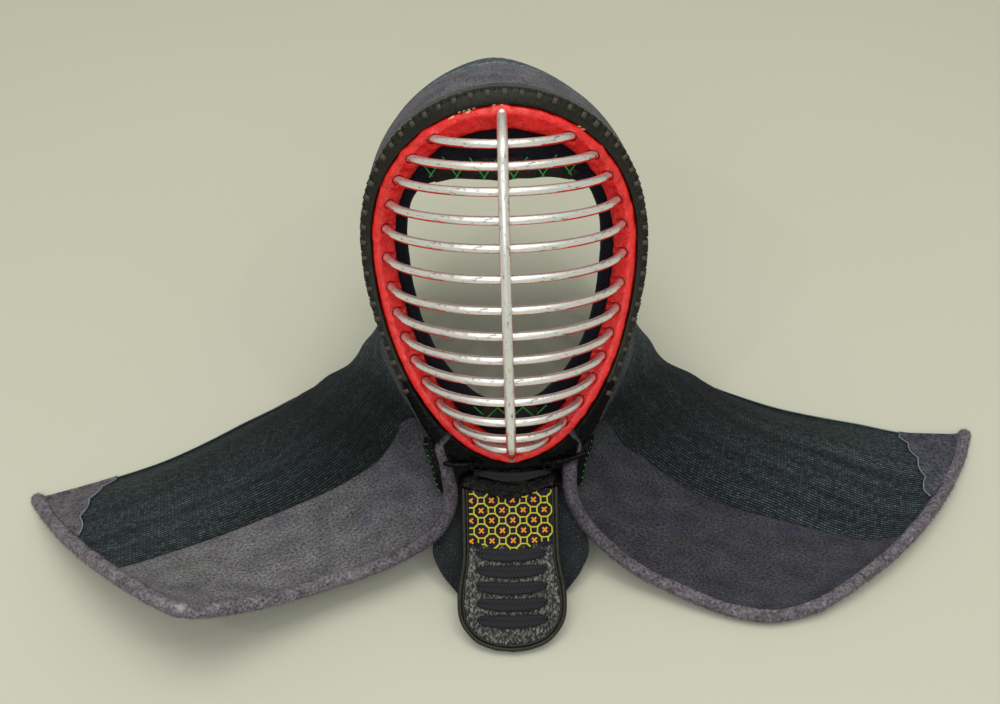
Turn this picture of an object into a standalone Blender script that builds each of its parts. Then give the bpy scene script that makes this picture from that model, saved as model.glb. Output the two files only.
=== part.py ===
"""Kendo mask at rest, leaning back on its throat guard's tip and its flaps' rear edges.

The face side (ring, grill, rim, pads and chin) is modelled upright in the face frame:
its origin is the ring's centre, +X is the viewer's right and +Y the back of the head.
It leans back as one. The flaps' free ends and the throat guard's tip are set from the
surface that they rest on, which is the plane z = 0.
"""
import math

import bmesh
import bpy
import numpy as np

# The whole, in metres and radians.
LEAN = math.radians(30.0)
CENTRE_HEIGHT = 0.210
GAP = 0.0003

# The red ring. Its outline is two half ellipses that meet at its widest line.
RING_WIDTH = 0.196
RING_TOP = 0.1044
RING_BOTTOM = 0.1614
WIDEST_LINE = 0.015
JAW_POWER = 1.08
RING_FRONT = 0.005
RING_WRAP = 0.037
WRAP_POWER = 2.2
RING_BAND = 0.016
RING_DEPTH = 0.014
RING_STEPS = 48
# Each point is a share of the band's width, inwards, and a share of its depth.
RING_SECTION = ((0.0, 0.25), (0.12, 0.03), (0.34, 0.0), (0.55, 0.14), (0.80, 0.30),
                (1.0, 0.50), (1.0, 0.86), (0.85, 1.0), (0.08, 1.0), (0.0, 0.88))

# The grill. Each bar has its height as a share of the ring's height, from the
# ring's centre, and how far its middle comes forward as a share of the bow.
BAR_DIAMETER = 0.0056
UPRIGHT_DIAMETER = 0.0068
SOLDER_DEPTH = 0.0015
GRILL_BOW = 0.026
TENON = 0.005
SOCKET_CLEARANCE = 0.0005
BAR_STEPS = 8
BARS = ((0.364, 0.54), (0.309, 0.65), (0.247, 0.81), (0.175, 0.92), (0.104, 1.0),
        (0.022, 1.0), (-0.062, 1.0), (-0.134, 0.96), (-0.2035, 0.885), (-0.2665, 0.83),
        (-0.326, 0.81), (-0.385, 0.81), (-0.4395, 0.65), (-0.4825, 0.385))

# The rim, outside the red ring. Its face is widest at the top and at the jaw.
RIM_FACE = 0.0126
RIM_DEPTH = 0.024
RIM_SETBACK = 0.001
RIM_END = 149.0
RIM_STEPS = 40
# Angle from the top in degrees, and the face's width as a share.
RIM_WIDTHS = ((0.0, 1.0), (40.0, 0.92), (77.0, 0.70), (98.0, 0.66), (112.0, 0.54),
              (124.0, 0.54), (137.0, 0.80), (149.0, 1.15))
# Angle from the top in degrees, and the rim's depth as a share.
RIM_DEPTHS = ((0.0, 1.0), (126.0, 1.0), (138.0, 0.80), (149.0, 0.50))
RIM_SECTION = ((0.0, 0.12), (0.12, 0.0), (0.75, 0.03), (1.0, 0.22), (1.0, 0.85),
               (0.80, 1.0), (0.0, 1.0))

# The pads inside. The pad's width, inwards from the ring's edge, is a share.
PAD_FACE = 0.055
PAD_DEPTH = 0.022
PAD_EDGE = 0.003
PAD_STEPS = 44
PAD_WIDTHS = ((0.0, 1.0), (25.0, 0.90), (45.0, 0.68), (62.0, 0.46), (90.0, 0.44),
              (125.0, 0.44), (150.0, 0.55), (165.0, 0.66), (180.0, 0.70))
PAD_SECTION = ((0.0, 0.15), (0.15, 0.0), (0.85, 0.0), (1.0, 0.30), (1.0, 0.70),
               (0.85, 1.0), (0.15, 1.0), (0.0, 0.85))
FACING_THICKNESS = 0.0012
# How many of the pad's steps each facing covers, to each side.
FOREHEAD_REACH = 6
CHIN_REACH = 3
FACING_GAP = 0.0005
# How far inwards each facing starts and ends, as shares of the pad's width.
FOREHEAD_FACING = (0.66, 0.97)
CHIN_FACING = (0.70, 0.97)

# The chin.
CHIN_PLATE_WIDTH = 0.009
CHIN_PLATE_DEPTH = 0.0062
# Angle from the top in degrees, and the plate's width as a share.
CHIN_WIDTHS = ((153.5, 0.35), (158.0, 1.30), (166.0, 1.05), (180.0, 0.85))
BRAID_WIDTH = 0.0080
BRAID_DEPTH = 0.0060
BRAID_FORWARD = 0.0045
BRAID_HALF_ANGLE = 15.0
TIE_DIAMETER = 0.0045
TIE_FRONT = 0.0064
# Each tie's points: across as a share of half the ring's width, and down from the
# ring's centre as a share of its lower height.
TIE_LEFT = ((0.515, 0.905), (0.41, 0.914), (0.305, 0.912))
TIE_RIGHT = ((0.560, 0.868), (0.43, 0.898), (0.31, 0.914))
TONGUE_WIDTH = 0.0085
TONGUE_THICKNESS = 0.0018

# The throat guard, on a plane that runs from the chin down to the surface.
GUARD_TOP_DROP = 0.1726
GUARD_TOP_BACK = 0.0134
GUARD_LENGTH = 0.1205
GUARD_WIDTH = 0.0812
GUARD_THICKNESS = 0.005
# How far down, as a share of the length, and half the width there, as a share.
GUARD_OUTLINE = ((0.0, 0.91), (0.23, 0.90), (0.43, 0.905), (0.59, 0.975), (0.72, 1.0),
                 (0.83, 0.935), (0.935, 0.685), (0.985, 0.345), (1.0, 0.0))
PIPING_WIDTH = 0.0042
PIPING_HEIGHT = 0.0018
PANEL_TOP = 0.0010
PANEL_LENGTH = 0.0395
PANEL_HALF_WIDTH = 0.0316
PANEL_POINTS = 5
PANEL_POINT_DEPTH = 0.005
PANEL_THICKNESS = 0.0012
RIB_COUNT = 5
RIB_FIRST = 0.0482
RIB_PITCH = 0.0122
RIB_HALF_WIDTH = 0.0262
RIB_WIDTH = 0.0085
RIB_HEIGHT = 0.0024
RIB_SAG = 0.0022
# The lacquered collar that joins the chin to the guard.
COLLAR_HALF_WIDTH = 0.0395
COLLAR_THICKNESS = 0.0020
COLLAR_TOP_DROP = 0.1482
COLLAR_TOP_BACK = 0.0174
COLLAR_TOP_FALL = 0.0130
COLLAR_SIDE = -0.0040
COLLAR_MIDDLE = 0.0095

# The inner throat guard. It starts above the guard's top and behind its plane, and is
# steeper than it all the way down to the surface.
INNER_ABOVE = 0.0204
INNER_BEHIND = 0.001
INNER_TURN = math.radians(8.6)
INNER_WIDTH = 0.122
INNER_THICKNESS = 0.005
INNER_SINK = 0.30
INNER_OUTLINE = ((0.0, 0.74), (0.35, 0.86), (0.62, 1.0), (0.80, 0.90), (0.95, 0.69),
                 (1.0, 0.58))

# The hood: one padded sheet, from the left flap's end over the head to the right's.
HOOD_THICKNESS = 0.007
HOOD_SEAM = 0.0020
# How high the middle of its rear edge lies, as a share of its thickness.
REAR_SINK = 0.14
# How wide its flattened strip is along the rear edge.
REST_STRIP = 0.009
DOME_HALF_WIDTH = 0.105
DOME_RUN = 0.190
DOME_HEIGHT = 0.120
DOME_LIFT = 0.016
# For each section over the head: its angle on the rim, then its rear point in the
# face frame as shares of half the width, the run back and the height, then the lift
# of its middle as a share.
DOME_SECTIONS = ((0.0, 0.0, 1.0, 1.0, 1.0), (32.0, 0.48, 1.06, 0.80, 0.80),
                 (62.0, 0.80, 1.10, 0.44, 0.52), (90.0, 0.952, 1.17, -0.12, 0.15),
                 (112.0, 1.03, 1.19, -0.72, 0.05))
FLAP_REACH = 0.390
FLAP_FRONT = 0.190
# How far below the ring's centre the flaps' inner corners are, and so how high.
FLAP_DROP = 0.134
FLAP_RISE = CENTRE_HEIGHT - FLAP_DROP
# For each section of a flap on the jaw: its angle on the rim, then its middle (x, y, z)
# and its rear (x, y), as shares of the reach, the front and the rise.
JAW_LEFT = ((126.0, 0.297, 0.384, 0.92, 0.309, 0.605), (138.0, 0.305, 0.253, 0.895, 0.360, 0.474),
            (152.0, 0.3205, 0.158, 0.842, 0.410, 0.389))
JAW_RIGHT = ((126.0, 0.305, 0.368, 0.92, 0.315, 0.580), (138.0, 0.313, 0.242, 0.868, 0.369, 0.463),
             (152.0, 0.328, 0.147, 0.803, 0.418, 0.374))
# The free sections beyond: front (x, y, z), middle (x, y, z) and rear (x, y), as shares
# of the same three sizes. The left flap's front corner stands up off the surface.
FREE_LEFT = ((0.131, -0.257, 1.013, 0.328, 0.074, 0.816, 0.446, 0.326),
             (0.118, -0.379, 0.868, 0.336, 0.005, 0.776, 0.482, 0.274),
             (0.118, -0.463, 0.671, 0.354, -0.084, 0.724, 0.528, 0.211),
             (0.154, -0.553, 0.513, 0.400, -0.189, 0.671, 0.587, 0.137),
             (0.244, -0.653, 0.434, 0.467, -0.284, 0.632, 0.656, 0.042),
             (0.349, -0.742, 0.461, 0.554, -0.384, 0.618, 0.744, -0.063),
             (0.444, -0.837, 0.592, 0.646, -0.479, 0.605, 0.836, -0.142),
             (0.536, -0.921, 0.789, 0.738, -0.568, 0.605, 0.923, -0.189),
             (0.597, -0.958, 0.961, 0.815, -0.632, 0.592, 0.997, -0.226))
FREE_RIGHT = ((0.133, -0.268, 1.013, 0.341, 0.068, 0.763, 0.454, 0.321),
              (0.1205, -0.368, 0.921, 0.354, -0.005, 0.711, 0.495, 0.274),
              (0.126, -0.442, 0.697, 0.379, -0.095, 0.645, 0.546, 0.216),
              (0.164, -0.537, 0.474, 0.431, -0.200, 0.566, 0.610, 0.158),
              (0.238, -0.653, 0.289, 0.492, -0.289, 0.487, 0.692, 0.105),
              (0.313, -0.726, 0.184, 0.569, -0.363, 0.408, 0.777, 0.058),
              (0.413, -0.811, 0.105, 0.672, -0.442, 0.316, 0.862, 0.021),
              (0.508, -0.847, 0.092, 0.759, -0.489, 0.237, 0.938, 0.005),
              (0.595, -0.811, 0.125, 0.831, -0.474, 0.197, 1.0, 0.0))
HOOD_COLUMNS = 2
HOOD_ROWS = 8
BORDER_DIAMETER = 0.009
BORDER_GAP = 0.0009
# How far past the first free section it starts, as a share of a section.
BORDER_START = 0.2
BORDER_CORNER = 0.005
PATCH_ALONG = 0.050
PATCH_ACROSS = 0.064
PATCH_THICKNESS = 0.0014
PATCH_SCALLOPS = 4
SCALLOP_DEPTH = 0.0035
# What is sewn on the curved sheet lies this far off it.
SEWN_GAP = 0.0008

RING_HEIGHT = RING_TOP + RING_BOTTOM


# Finishes.

def finish(name, colour, roughness, metallic=0.0):
    """Return a material with one Principled BSDF."""
    material = bpy.data.materials.new(name)
    material.use_nodes = True
    shader = material.node_tree.nodes["Principled BSDF"]
    shader.inputs["Base Color"].default_value = (*colour, 1.0)
    shader.inputs["Roughness"].default_value = roughness
    shader.inputs["Metallic"].default_value = metallic
    material.diffuse_color = (*colour, 1.0)
    return material


# Curves.

def vec(*values):
    """Return a point as an array."""
    return np.array(values, dtype=float)


def unit(v):
    """Return the direction of v."""
    return v / np.linalg.norm(v)


def curve_at(points, place):
    """Return the smooth curve through the points at a place counted in points."""
    points = np.asarray(points, dtype=float)
    last = len(points) - 1
    place = min(max(place, 0.0), float(last))
    k = min(int(place), last - 1)
    t = place - k
    before = points[k - 1] if k > 0 else 2 * points[0] - points[1]
    after = points[k + 2] if k + 2 <= last else 2 * points[last] - points[last - 1]
    start, end = points[k], points[k + 1]
    return 0.5 * (2 * start + (end - before) * t
                  + (2 * before - 5 * start + 4 * end - after) * t * t
                  + (3 * start - before - 3 * end + after) * t ** 3)


def table_at(rows, key):
    """Return the values of a table's rows at a key between its first and last."""
    keys = [row[0] for row in rows]
    key = min(max(key, keys[0]), keys[-1])
    k = min(int(np.searchsorted(keys, key, side="right")) - 1, len(keys) - 2)
    share = (key - keys[k]) / (keys[k + 1] - keys[k])
    return curve_at([row[1:] for row in rows], k + share)


# Meshes.

def add_object(name, bm, material, parent):
    """Turn a bmesh into an object with its faces pointing out."""
    bmesh.ops.recalc_face_normals(bm, faces=bm.faces)
    mesh = bpy.data.meshes.new(name)
    bm.to_mesh(mesh)
    bm.free()
    mesh.shade_smooth()
    mesh.set_sharp_from_angle(angle=math.radians(40.0))
    mesh.materials.append(material)
    obj = bpy.data.objects.new(name, mesh)
    obj.parent = parent
    bpy.context.scene.collection.objects.link(obj)
    return obj


def sweep_into(bm, rings, closed=False):
    """Add a body to bm that joins each ring of points to the next, with end caps."""
    rows = [[bm.verts.new(point) for point in ring] for ring in rings]
    pairs = list(zip(rows, rows[1:]))
    if closed:
        pairs.append((rows[-1], rows[0]))
    for one, two in pairs:
        for k in range(len(one)):
            after = (k + 1) % len(one)
            bm.faces.new((one[k], one[after], two[after], two[k]))
    if not closed:
        bm.faces.new(reversed(rows[0]))
        bm.faces.new(rows[-1])


def sweep(name, rings, material, parent, closed=False):
    """Return an object made of one swept body."""
    bm = bmesh.new()
    sweep_into(bm, rings, closed)
    return add_object(name, bm, material, parent)


def tube_rings(points, radius, sides=8, up=None):
    """Return round rings across a path of points."""
    up = vec(0.0, 0.0, 1.0) if up is None else up
    rings = []
    for k, point in enumerate(points):
        along = unit(points[min(k + 1, len(points) - 1)] - points[max(k - 1, 0)])
        side = unit(np.cross(along, up))
        over = np.cross(side, along)
        turns = [(j + 0.5) * math.tau / sides for j in range(sides)]
        rings.append([point + radius * (math.cos(a) * side + math.sin(a) * over) for a in turns])
    return rings


def sheet_into(bm, grid, thickness, floor=None, lift=0.0, fronts=None):
    """Add a sheet to bm, about a grid of points, flattened where it meets the floor.

    fronts maps a row's number to the direction that its first point is thickened in.
    """
    grid = np.asarray(grid, dtype=float)
    along = np.gradient(grid, axis=0)
    across = np.gradient(grid, axis=1)
    normals = np.cross(along, across)
    normals /= np.linalg.norm(normals, axis=2, keepdims=True)
    for row, direction in (fronts or {}).items():
        normals[row, 0] = direction * math.copysign(1.0, direction.dot(normals[row, 0]))
    faces = []
    for side in (lift + thickness / 2, lift - thickness / 2):
        points = grid + normals * side
        if floor is not None:
            points[:, :, 2] = np.maximum(points[:, :, 2], floor)
        faces.append([[bm.verts.new(p) for p in row] for row in points])
    top, under = faces
    rows, columns = len(top), len(top[0])
    for i in range(rows - 1):
        for j in range(columns - 1):
            bm.faces.new((top[i][j], top[i + 1][j], top[i + 1][j + 1], top[i][j + 1]))
            bm.faces.new((under[i][j], under[i][j + 1], under[i + 1][j + 1], under[i + 1][j]))
    for i in range(rows - 1):
        for j in (0, columns - 1):
            bm.faces.new((top[i][j], top[i + 1][j], under[i + 1][j], under[i][j]))
    for j in range(columns - 1):
        for i in (0, rows - 1):
            bm.faces.new((top[i][j], top[i][j + 1], under[i][j + 1], under[i][j]))


def sheet(name, grid, thickness, material, parent, floor=None, lift=0.0, fronts=None):
    """Return an object made of one sheet."""
    bm = bmesh.new()
    sheet_into(bm, grid, thickness, floor, lift, fronts)
    return add_object(name, bm, material, parent)


def plate(name, outline, low, high, material, parent):
    """Return a flat plate in its parent's frame, with the outline given as (x, y)."""
    rings = [[vec(x, y, z) for x, y in outline] for z in (low, high)]
    return sweep(name, rings, material, parent)


# The face frame.

def outline_at(angle):
    """Return the ring's outer edge (x, z) at an angle from the top, in radians."""
    side, rise = math.sin(angle), math.cos(angle)
    if rise >= 0:
        return vec(RING_WIDTH / 2 * side, WIDEST_LINE + RING_TOP * rise)
    reach = math.copysign(abs(side) ** JAW_POWER, side)
    return vec(RING_WIDTH / 2 * reach, WIDEST_LINE + RING_BOTTOM * rise)


def outward_at(angle):
    """Return the direction (x, z) that points out of the ring's outline."""
    step = 0.002
    run = outline_at(angle + step) - outline_at(angle - step)
    return unit(vec(-run[1], run[0]))


def face_point(degrees, grow=0.0, back=0.0):
    """Return a point `grow` outside the ring's edge and `back` behind its front."""
    angle = math.radians(degrees)
    base = outline_at(angle)
    x, z = base + grow * outward_at(angle)
    wrap = RING_WRAP * abs(base[0] / (RING_WIDTH / 2)) ** WRAP_POWER
    return vec(x, RING_FRONT + wrap + back, z)


def lean(point):
    """Return the resting place of a point of the face frame."""
    x, y, z = point
    back = y * math.cos(LEAN) + z * math.sin(LEAN)
    return vec(x, back, CENTRE_HEIGHT - y * math.sin(LEAN) + z * math.cos(LEAN))


def leaned_outward(degrees):
    """Return the direction out of the ring's outline, on the resting mask."""
    x, z = outward_at(math.radians(degrees))
    return lean(vec(x, 0.0, z)) - lean(vec(0.0, 0.0, 0.0))


def rim_width(degrees):
    """Return the width of the rim's face at an angle from the top."""
    return RIM_FACE * table_at(RIM_WIDTHS, abs(degrees))[0]


def rim_depth(degrees):
    """Return the rim's depth at an angle from the top."""
    return RIM_DEPTH * table_at(RIM_DEPTHS, abs(degrees))[0]


def angle_of_height(z):
    """Return the angle in degrees, on the right side, where the ring's edge is at z."""
    rise = z - WIDEST_LINE
    reach = RING_TOP if rise >= 0 else RING_BOTTOM
    return math.degrees(math.acos(rise / reach))


def section_ring(degrees, section, width, depth, start, back, inward):
    """Return one ring of a swept section, `start` off the ring's edge."""
    sign = -1.0 if inward else 1.0
    return [face_point(degrees, start + sign * out * width, back + deep * depth)
            for out, deep in section]


def spread(first, last, steps):
    """Return evenly spaced values, with both ends."""
    return [first + (last - first) * k / steps for k in range(steps + 1)]


# The grill and its ring.

def bar_paths():
    """Return the path of each bar from left tenon to right tenon."""
    paths = []
    for height, forward in BARS:
        z = height * RING_HEIGHT
        degrees = angle_of_height(z)
        outward = outward_at(math.radians(degrees))
        seat = face_point(degrees, 0.0, 0.25 * RING_DEPTH)
        half = seat[0] - 0.5 * RING_BAND / outward[0]
        middle = -forward * GRILL_BOW
        sag = seat[1] - middle
        radius = (half ** 2 + sag ** 2) / (2 * sag)
        swing = math.asin(min(half / radius, 1.0))
        arc = [vec(radius * math.sin(a), middle + radius * (1 - math.cos(a)), z)
               for a in spread(-swing, swing, BAR_STEPS)]
        tail = TENON * unit(arc[-1] - arc[-2])
        paths.append([arc[0] + tail * vec(-1, 1, 1), *arc, arc[-1] + tail])
    return paths


def upright_path():
    """Return the path of the upright bar, which lies in front of the others."""
    step = (BAR_DIAMETER + UPRIGHT_DIAMETER) / 2 - SOLDER_DEPTH
    top = face_point(0.0, -0.5 * RING_BAND, 0.25 * RING_DEPTH)
    foot = face_point(180.0, -0.5 * RING_BAND, 0.25 * RING_DEPTH)
    crossings = [vec(0.0, -forward * GRILL_BOW - step, height * RING_HEIGHT) for height, forward in BARS]
    points = [top, *crossings, foot]
    return [top + vec(0, TENON, 0), *points, foot + vec(0, TENON, 0)]


def socket_tubes(bm, path, radius, up=None):
    """Add the tubes that cut a bar's two sockets."""
    for line in (path, path[::-1]):
        start = line[0] - (GAP + SOCKET_CLEARANCE) * unit(line[1] - line[0])
        sweep_into(bm, tube_rings([start, *line[1:4]], radius, up=up))


def build_grill(parent, material):
    """Build the bars and the upright as one soldered body."""
    bm = bmesh.new()
    for path in bar_paths():
        sweep_into(bm, tube_rings(path, BAR_DIAMETER / 2))
    grill = add_object("grill", bm, material, parent)
    sideways = vec(1.0, 0.0, 0.0)
    upright = sweep("upright", tube_rings(upright_path(), UPRIGHT_DIAMETER / 2, up=sideways), material, parent)
    hide(upright)
    union = grill.modifiers.new("Solder", "BOOLEAN")
    union.operation = "UNION"
    union.solver = "EXACT"
    union.object = upright


def hide(obj):
    """Mark an object as a cutter or a part of another, which isn't a piece by itself."""
    obj.hide_render = True
    obj.display_type = "WIRE"


def build_ring(parent, material):
    """Build the red ring with a socket for each bar's end."""
    rings = [section_ring(a, RING_SECTION, RING_BAND, RING_DEPTH, 0.0, 0.0, True)
             for a in spread(0.0, 360.0, RING_STEPS)[:-1]]
    ring = sweep("red_ring", rings, material, parent, closed=True)
    bm = bmesh.new()
    for path in bar_paths():
        socket_tubes(bm, path, BAR_DIAMETER / 2 + SOCKET_CLEARANCE)
    socket_tubes(bm, upright_path(), UPRIGHT_DIAMETER / 2 + SOCKET_CLEARANCE, up=vec(1.0, 0.0, 0.0))
    cutter = add_object("sockets", bm, material, parent)
    hide(cutter)
    cut = ring.modifiers.new("Sockets", "BOOLEAN")
    cut.operation = "DIFFERENCE"
    cut.solver = "EXACT"
    cut.object = cutter


def build_rim(parent, material):
    """Build the lacquered rim, open at the chin."""
    rings = [section_ring(a, RIM_SECTION, rim_width(a), rim_depth(a), GAP, RIM_SETBACK, False)
             for a in spread(-RIM_END, RIM_END, RIM_STEPS)]
    sweep("rim", rings, material, parent)


# The pads and the chin.

def pad_width(degrees):
    """Return how far the pad reaches inwards at an angle from the top."""
    away = abs((degrees + 180.0) % 360.0 - 180.0)
    return PAD_FACE * table_at(PAD_WIDTHS, away)[0] - PAD_EDGE


def facing_grid(middle, reach, shares):
    """Return the grid of a thin facing in front of the pad, on the pad's own steps."""
    back = RING_DEPTH + GAP - FACING_GAP - FACING_THICKNESS / 2
    grid = []
    for step in range(-reach, reach + 1):
        degrees = middle + step * 360.0 / PAD_STEPS
        width = pad_width(degrees)
        grid.append([face_point(degrees, -PAD_EDGE - share * width, back) for share in spread(*shares, 2)])
    return grid


def build_pads(parent, cloth, leather):
    """Build the padded ring that the face rests on, and its two leather facings."""
    rings = [section_ring(a, PAD_SECTION, pad_width(a), PAD_DEPTH, -PAD_EDGE, RING_DEPTH + GAP, True)
             for a in spread(0.0, 360.0, PAD_STEPS)[:-1]]
    sweep("face_pad", rings, cloth, parent, closed=True)
    forehead = facing_grid(0.0, FOREHEAD_REACH, FOREHEAD_FACING)
    sheet("forehead_facing", forehead, FACING_THICKNESS, leather, parent)
    chin = facing_grid(180.0, CHIN_REACH, CHIN_FACING)
    sheet("chin_facing", chin, FACING_THICKNESS, leather, parent)


def chin_width(degrees):
    """Return the chin plate's width at an angle from the top."""
    return CHIN_PLATE_WIDTH * table_at(CHIN_WIDTHS, 180.0 - abs(degrees - 180.0))[0]


def build_chin(parent, lacquer, braid):
    """Build the chin plate, the braid under it and the two ties over it."""
    start = CHIN_WIDTHS[0][0]
    section = ((0.0, 0.0), (1.0, 0.15), (1.0, 1.0), (0.0, 1.0))
    rings = [section_ring(a, section, chin_width(a), CHIN_PLATE_DEPTH, GAP, RIM_SETBACK, False)
             for a in spread(start, 360.0 - start, 20)]
    sweep("chin_plate", rings, lacquer, parent)
    lens = ((0.0, 0.30), (0.30, 0.0), (0.70, 0.0), (1.0, 0.30), (1.0, 0.70), (0.70, 1.0), (0.0, 1.0))
    rings = []
    for degrees in spread(180.0 - BRAID_HALF_ANGLE, 180.0 + BRAID_HALF_ANGLE, 10):
        away = abs(degrees - 180.0) / BRAID_HALF_ANGLE
        width = BRAID_WIDTH * (1.0 - 0.6 * away ** 2)
        start = 3 * GAP + chin_width(degrees)
        back = RIM_SETBACK - BRAID_FORWARD
        rings.append(section_ring(degrees, lens, width, BRAID_DEPTH, start, back, False))
    sweep("chin_braid", rings, braid, parent)
    for side, name, points in ((-1, "left", TIE_LEFT), (1, "right", TIE_RIGHT)):
        knots = [vec(side * across * RING_WIDTH / 2, TIE_FRONT, -down * RING_BOTTOM) for across, down in points]
        path = [curve_at(knots, k / 3) for k in range(7)]
        sweep("chin_tie_" + name, tube_rings(path, TIE_DIAMETER / 2, up=vec(0.0, 1.0, 0.0)), lacquer, parent)


# The throat guard.

def guard_half_width(down):
    """Return half the guard's width at a distance down it."""
    return GUARD_WIDTH / 2 * table_at(GUARD_OUTLINE, down / GUARD_LENGTH)[0]


def guard_outline(inset=0.0):
    """Return the guard's outline from the top left corner round to the top right."""
    places = [k / 2 for k in range(2 * (len(GUARD_OUTLINE) - 1) + 1)]
    rows = [curve_at(GUARD_OUTLINE, place) for place in places]
    left = [vec(-GUARD_WIDTH / 2 * half, -GUARD_LENGTH * down) for down, half in rows]
    points = left + [point * vec(-1, 1) for point in reversed(left[:-1])]
    inner = []
    for k, point in enumerate(points):
        run = unit(points[min(k + 1, len(points) - 1)] - points[max(k - 1, 0)])
        inner.append(point + inset * vec(-run[1], run[0]))
    return inner


def build_guard(parent, leather, piping, ribs, embroidery):
    """Build the throat guard's plate and what is sewn on it, in its own flat frame."""
    plate("throat_guard", guard_outline(), 0.0, GUARD_THICKNESS, leather, parent)
    top = GUARD_THICKNESS + GAP
    section = ((0.0, 0.0), (0.0, 0.7), (0.25, 1.0), (0.5, 0.72), (0.75, 1.0), (1.0, 0.7), (1.0, 0.0))
    lines = [guard_outline(out * PIPING_WIDTH) for out, _ in section]
    rings = [[vec(*line[k], top + high * PIPING_HEIGHT) for line, (_, high) in zip(lines, section)]
             for k in range(len(lines[0]))]
    sweep("throat_piping", rings, piping, parent)
    foot = PANEL_TOP + PANEL_LENGTH
    teeth = [vec(PANEL_HALF_WIDTH * (1 - k / PANEL_POINTS), -foot - PANEL_POINT_DEPTH * (k % 2))
             for k in range(2 * PANEL_POINTS + 1)]
    corners = [vec(-PANEL_HALF_WIDTH, -PANEL_TOP), vec(PANEL_HALF_WIDTH, -PANEL_TOP)]
    plate("embroidered_panel", corners + teeth, top, top + PANEL_THICKNESS, embroidery, parent)
    for number in range(RIB_COUNT):
        down = RIB_FIRST + number * RIB_PITCH
        half = min(RIB_HALF_WIDTH, guard_half_width(down) - PIPING_WIDTH - 0.001)
        rings = []
        for share in spread(-1.0, 1.0, 10):
            size = math.sqrt(max(1.0 - 0.9 * share ** 2, 0.0))
            centre = -down - RIB_SAG * (1 - share ** 2)
            arch = [(0.5 * math.cos(a), math.sin(a)) for a in spread(0.0, math.pi, 4)]
            rings.append([vec(share * half, centre + y * RIB_WIDTH * size, top + z * RIB_HEIGHT * size) for y, z in arch])
        sweep(f"throat_rib_{number + 1}", rings, ribs, parent)


def guard_place():
    """Return the guard's top on the resting mask, and its tilt down to the surface."""
    top = lean(vec(0.0, GUARD_TOP_BACK, -GUARD_TOP_DROP))
    return top, math.asin(top[2] / GUARD_LENGTH)


def guard_point(x, down, height):
    """Return the resting place of a point on the guard."""
    top, tilt = guard_place()
    y = -down * math.cos(tilt) - height * math.sin(tilt)
    z = -down * math.sin(tilt) + height * math.cos(tilt)
    return top + vec(x, y, z)


def build_collar(parent, lacquer):
    """Build the lacquered collar, from behind the chin plate down over the guard's top."""
    height = GUARD_THICKNESS + PANEL_THICKNESS + 2.5 * GAP + COLLAR_THICKNESS / 2
    grid = []
    for share in spread(-1.0, 1.0, 8):
        x = share * COLLAR_HALF_WIDTH
        lower = COLLAR_SIDE + (COLLAR_MIDDLE - COLLAR_SIDE) * (1 - abs(share))
        drop = COLLAR_TOP_DROP + COLLAR_TOP_FALL * share ** 2
        knots = [lean(vec(x, COLLAR_TOP_BACK, -drop)), guard_point(x, -0.4 * height, height),
                 guard_point(x, lower, height)]
        grid.append([curve_at(knots, k / 3) for k in range(7)])
    sheet("chin_collar", grid, COLLAR_THICKNESS, lacquer, parent)


def build_inner_guard(parent, cloth):
    """Build the padded flap behind the throat guard, from the chin to the surface."""
    start = guard_point(0.0, -INNER_ABOVE, -INNER_BEHIND)
    fall = start[2] - INNER_SINK * INNER_THICKNESS
    end = start - fall * vec(0.0, 1.0 / math.tan(guard_place()[1] + INNER_TURN), 1.0)
    grid = []
    for k in range(13):
        share = k / 12
        half = INNER_WIDTH / 2 * table_at(INNER_OUTLINE, share)[0]
        centre = start + (end - start) * share
        grid.append([centre + vec(half * x, 0.0, 0.0) for x in spread(-1.0, 1.0, 4)])
    sheet("inner_throat_guard", grid, INNER_THICKNESS, cloth, parent, floor=0.0)


# The hood and what is sewn on it.

def flap_sections(side, jaw, free):
    """Return a flap's sections, each as its front, middle and rear point."""
    sizes = vec(side * FLAP_REACH, FLAP_FRONT, FLAP_RISE)
    rear_height = REAR_SINK * HOOD_THICKNESS
    sections = []
    for degrees, *row in jaw:
        middle = sizes * row[:3]
        rear = vec(*(sizes[:2] * row[3:5]), rear_height)
        sections.append((hood_front(side * degrees), middle, rear))
    for row in free:
        front, middle = sizes * row[:3], sizes * row[3:6]
        rear = vec(*(sizes[:2] * row[6:8]), rear_height)
        sections.append((front, middle, rear))
    return sections


def hood_front(degrees):
    """Return where the hood's edge is sewn behind the rim."""
    out = max(rim_width(degrees) - HOOD_THICKNESS / 2, GAP)
    return lean(face_point(degrees, out, RIM_SETBACK + rim_depth(degrees) + HOOD_SEAM))


def dome_section(degrees, across, back, high, lift):
    """Return one section over the head, as its front, middle and rear point."""
    front = hood_front(degrees)
    rear_face = vec(across * DOME_HALF_WIDTH, back * DOME_RUN, high * DOME_HEIGHT)
    rear = lean(rear_face)
    return front, (front + rear) / 2 + lift * DOME_LIFT * leaned_outward(degrees), rear


def hood_sections():
    """Return every section of the hood, from the left flap's end to the right's."""
    left = flap_sections(-1, JAW_LEFT, FREE_LEFT)
    right = flap_sections(1, JAW_RIGHT, FREE_RIGHT)
    dome = [dome_section(*row) for row in DOME_SECTIONS]
    mirrored = [dome_section(-a, -x, y, z, lift) for a, x, y, z, lift in DOME_SECTIONS[1:]]
    return left[::-1] + mirrored[::-1] + dome + right


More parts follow.
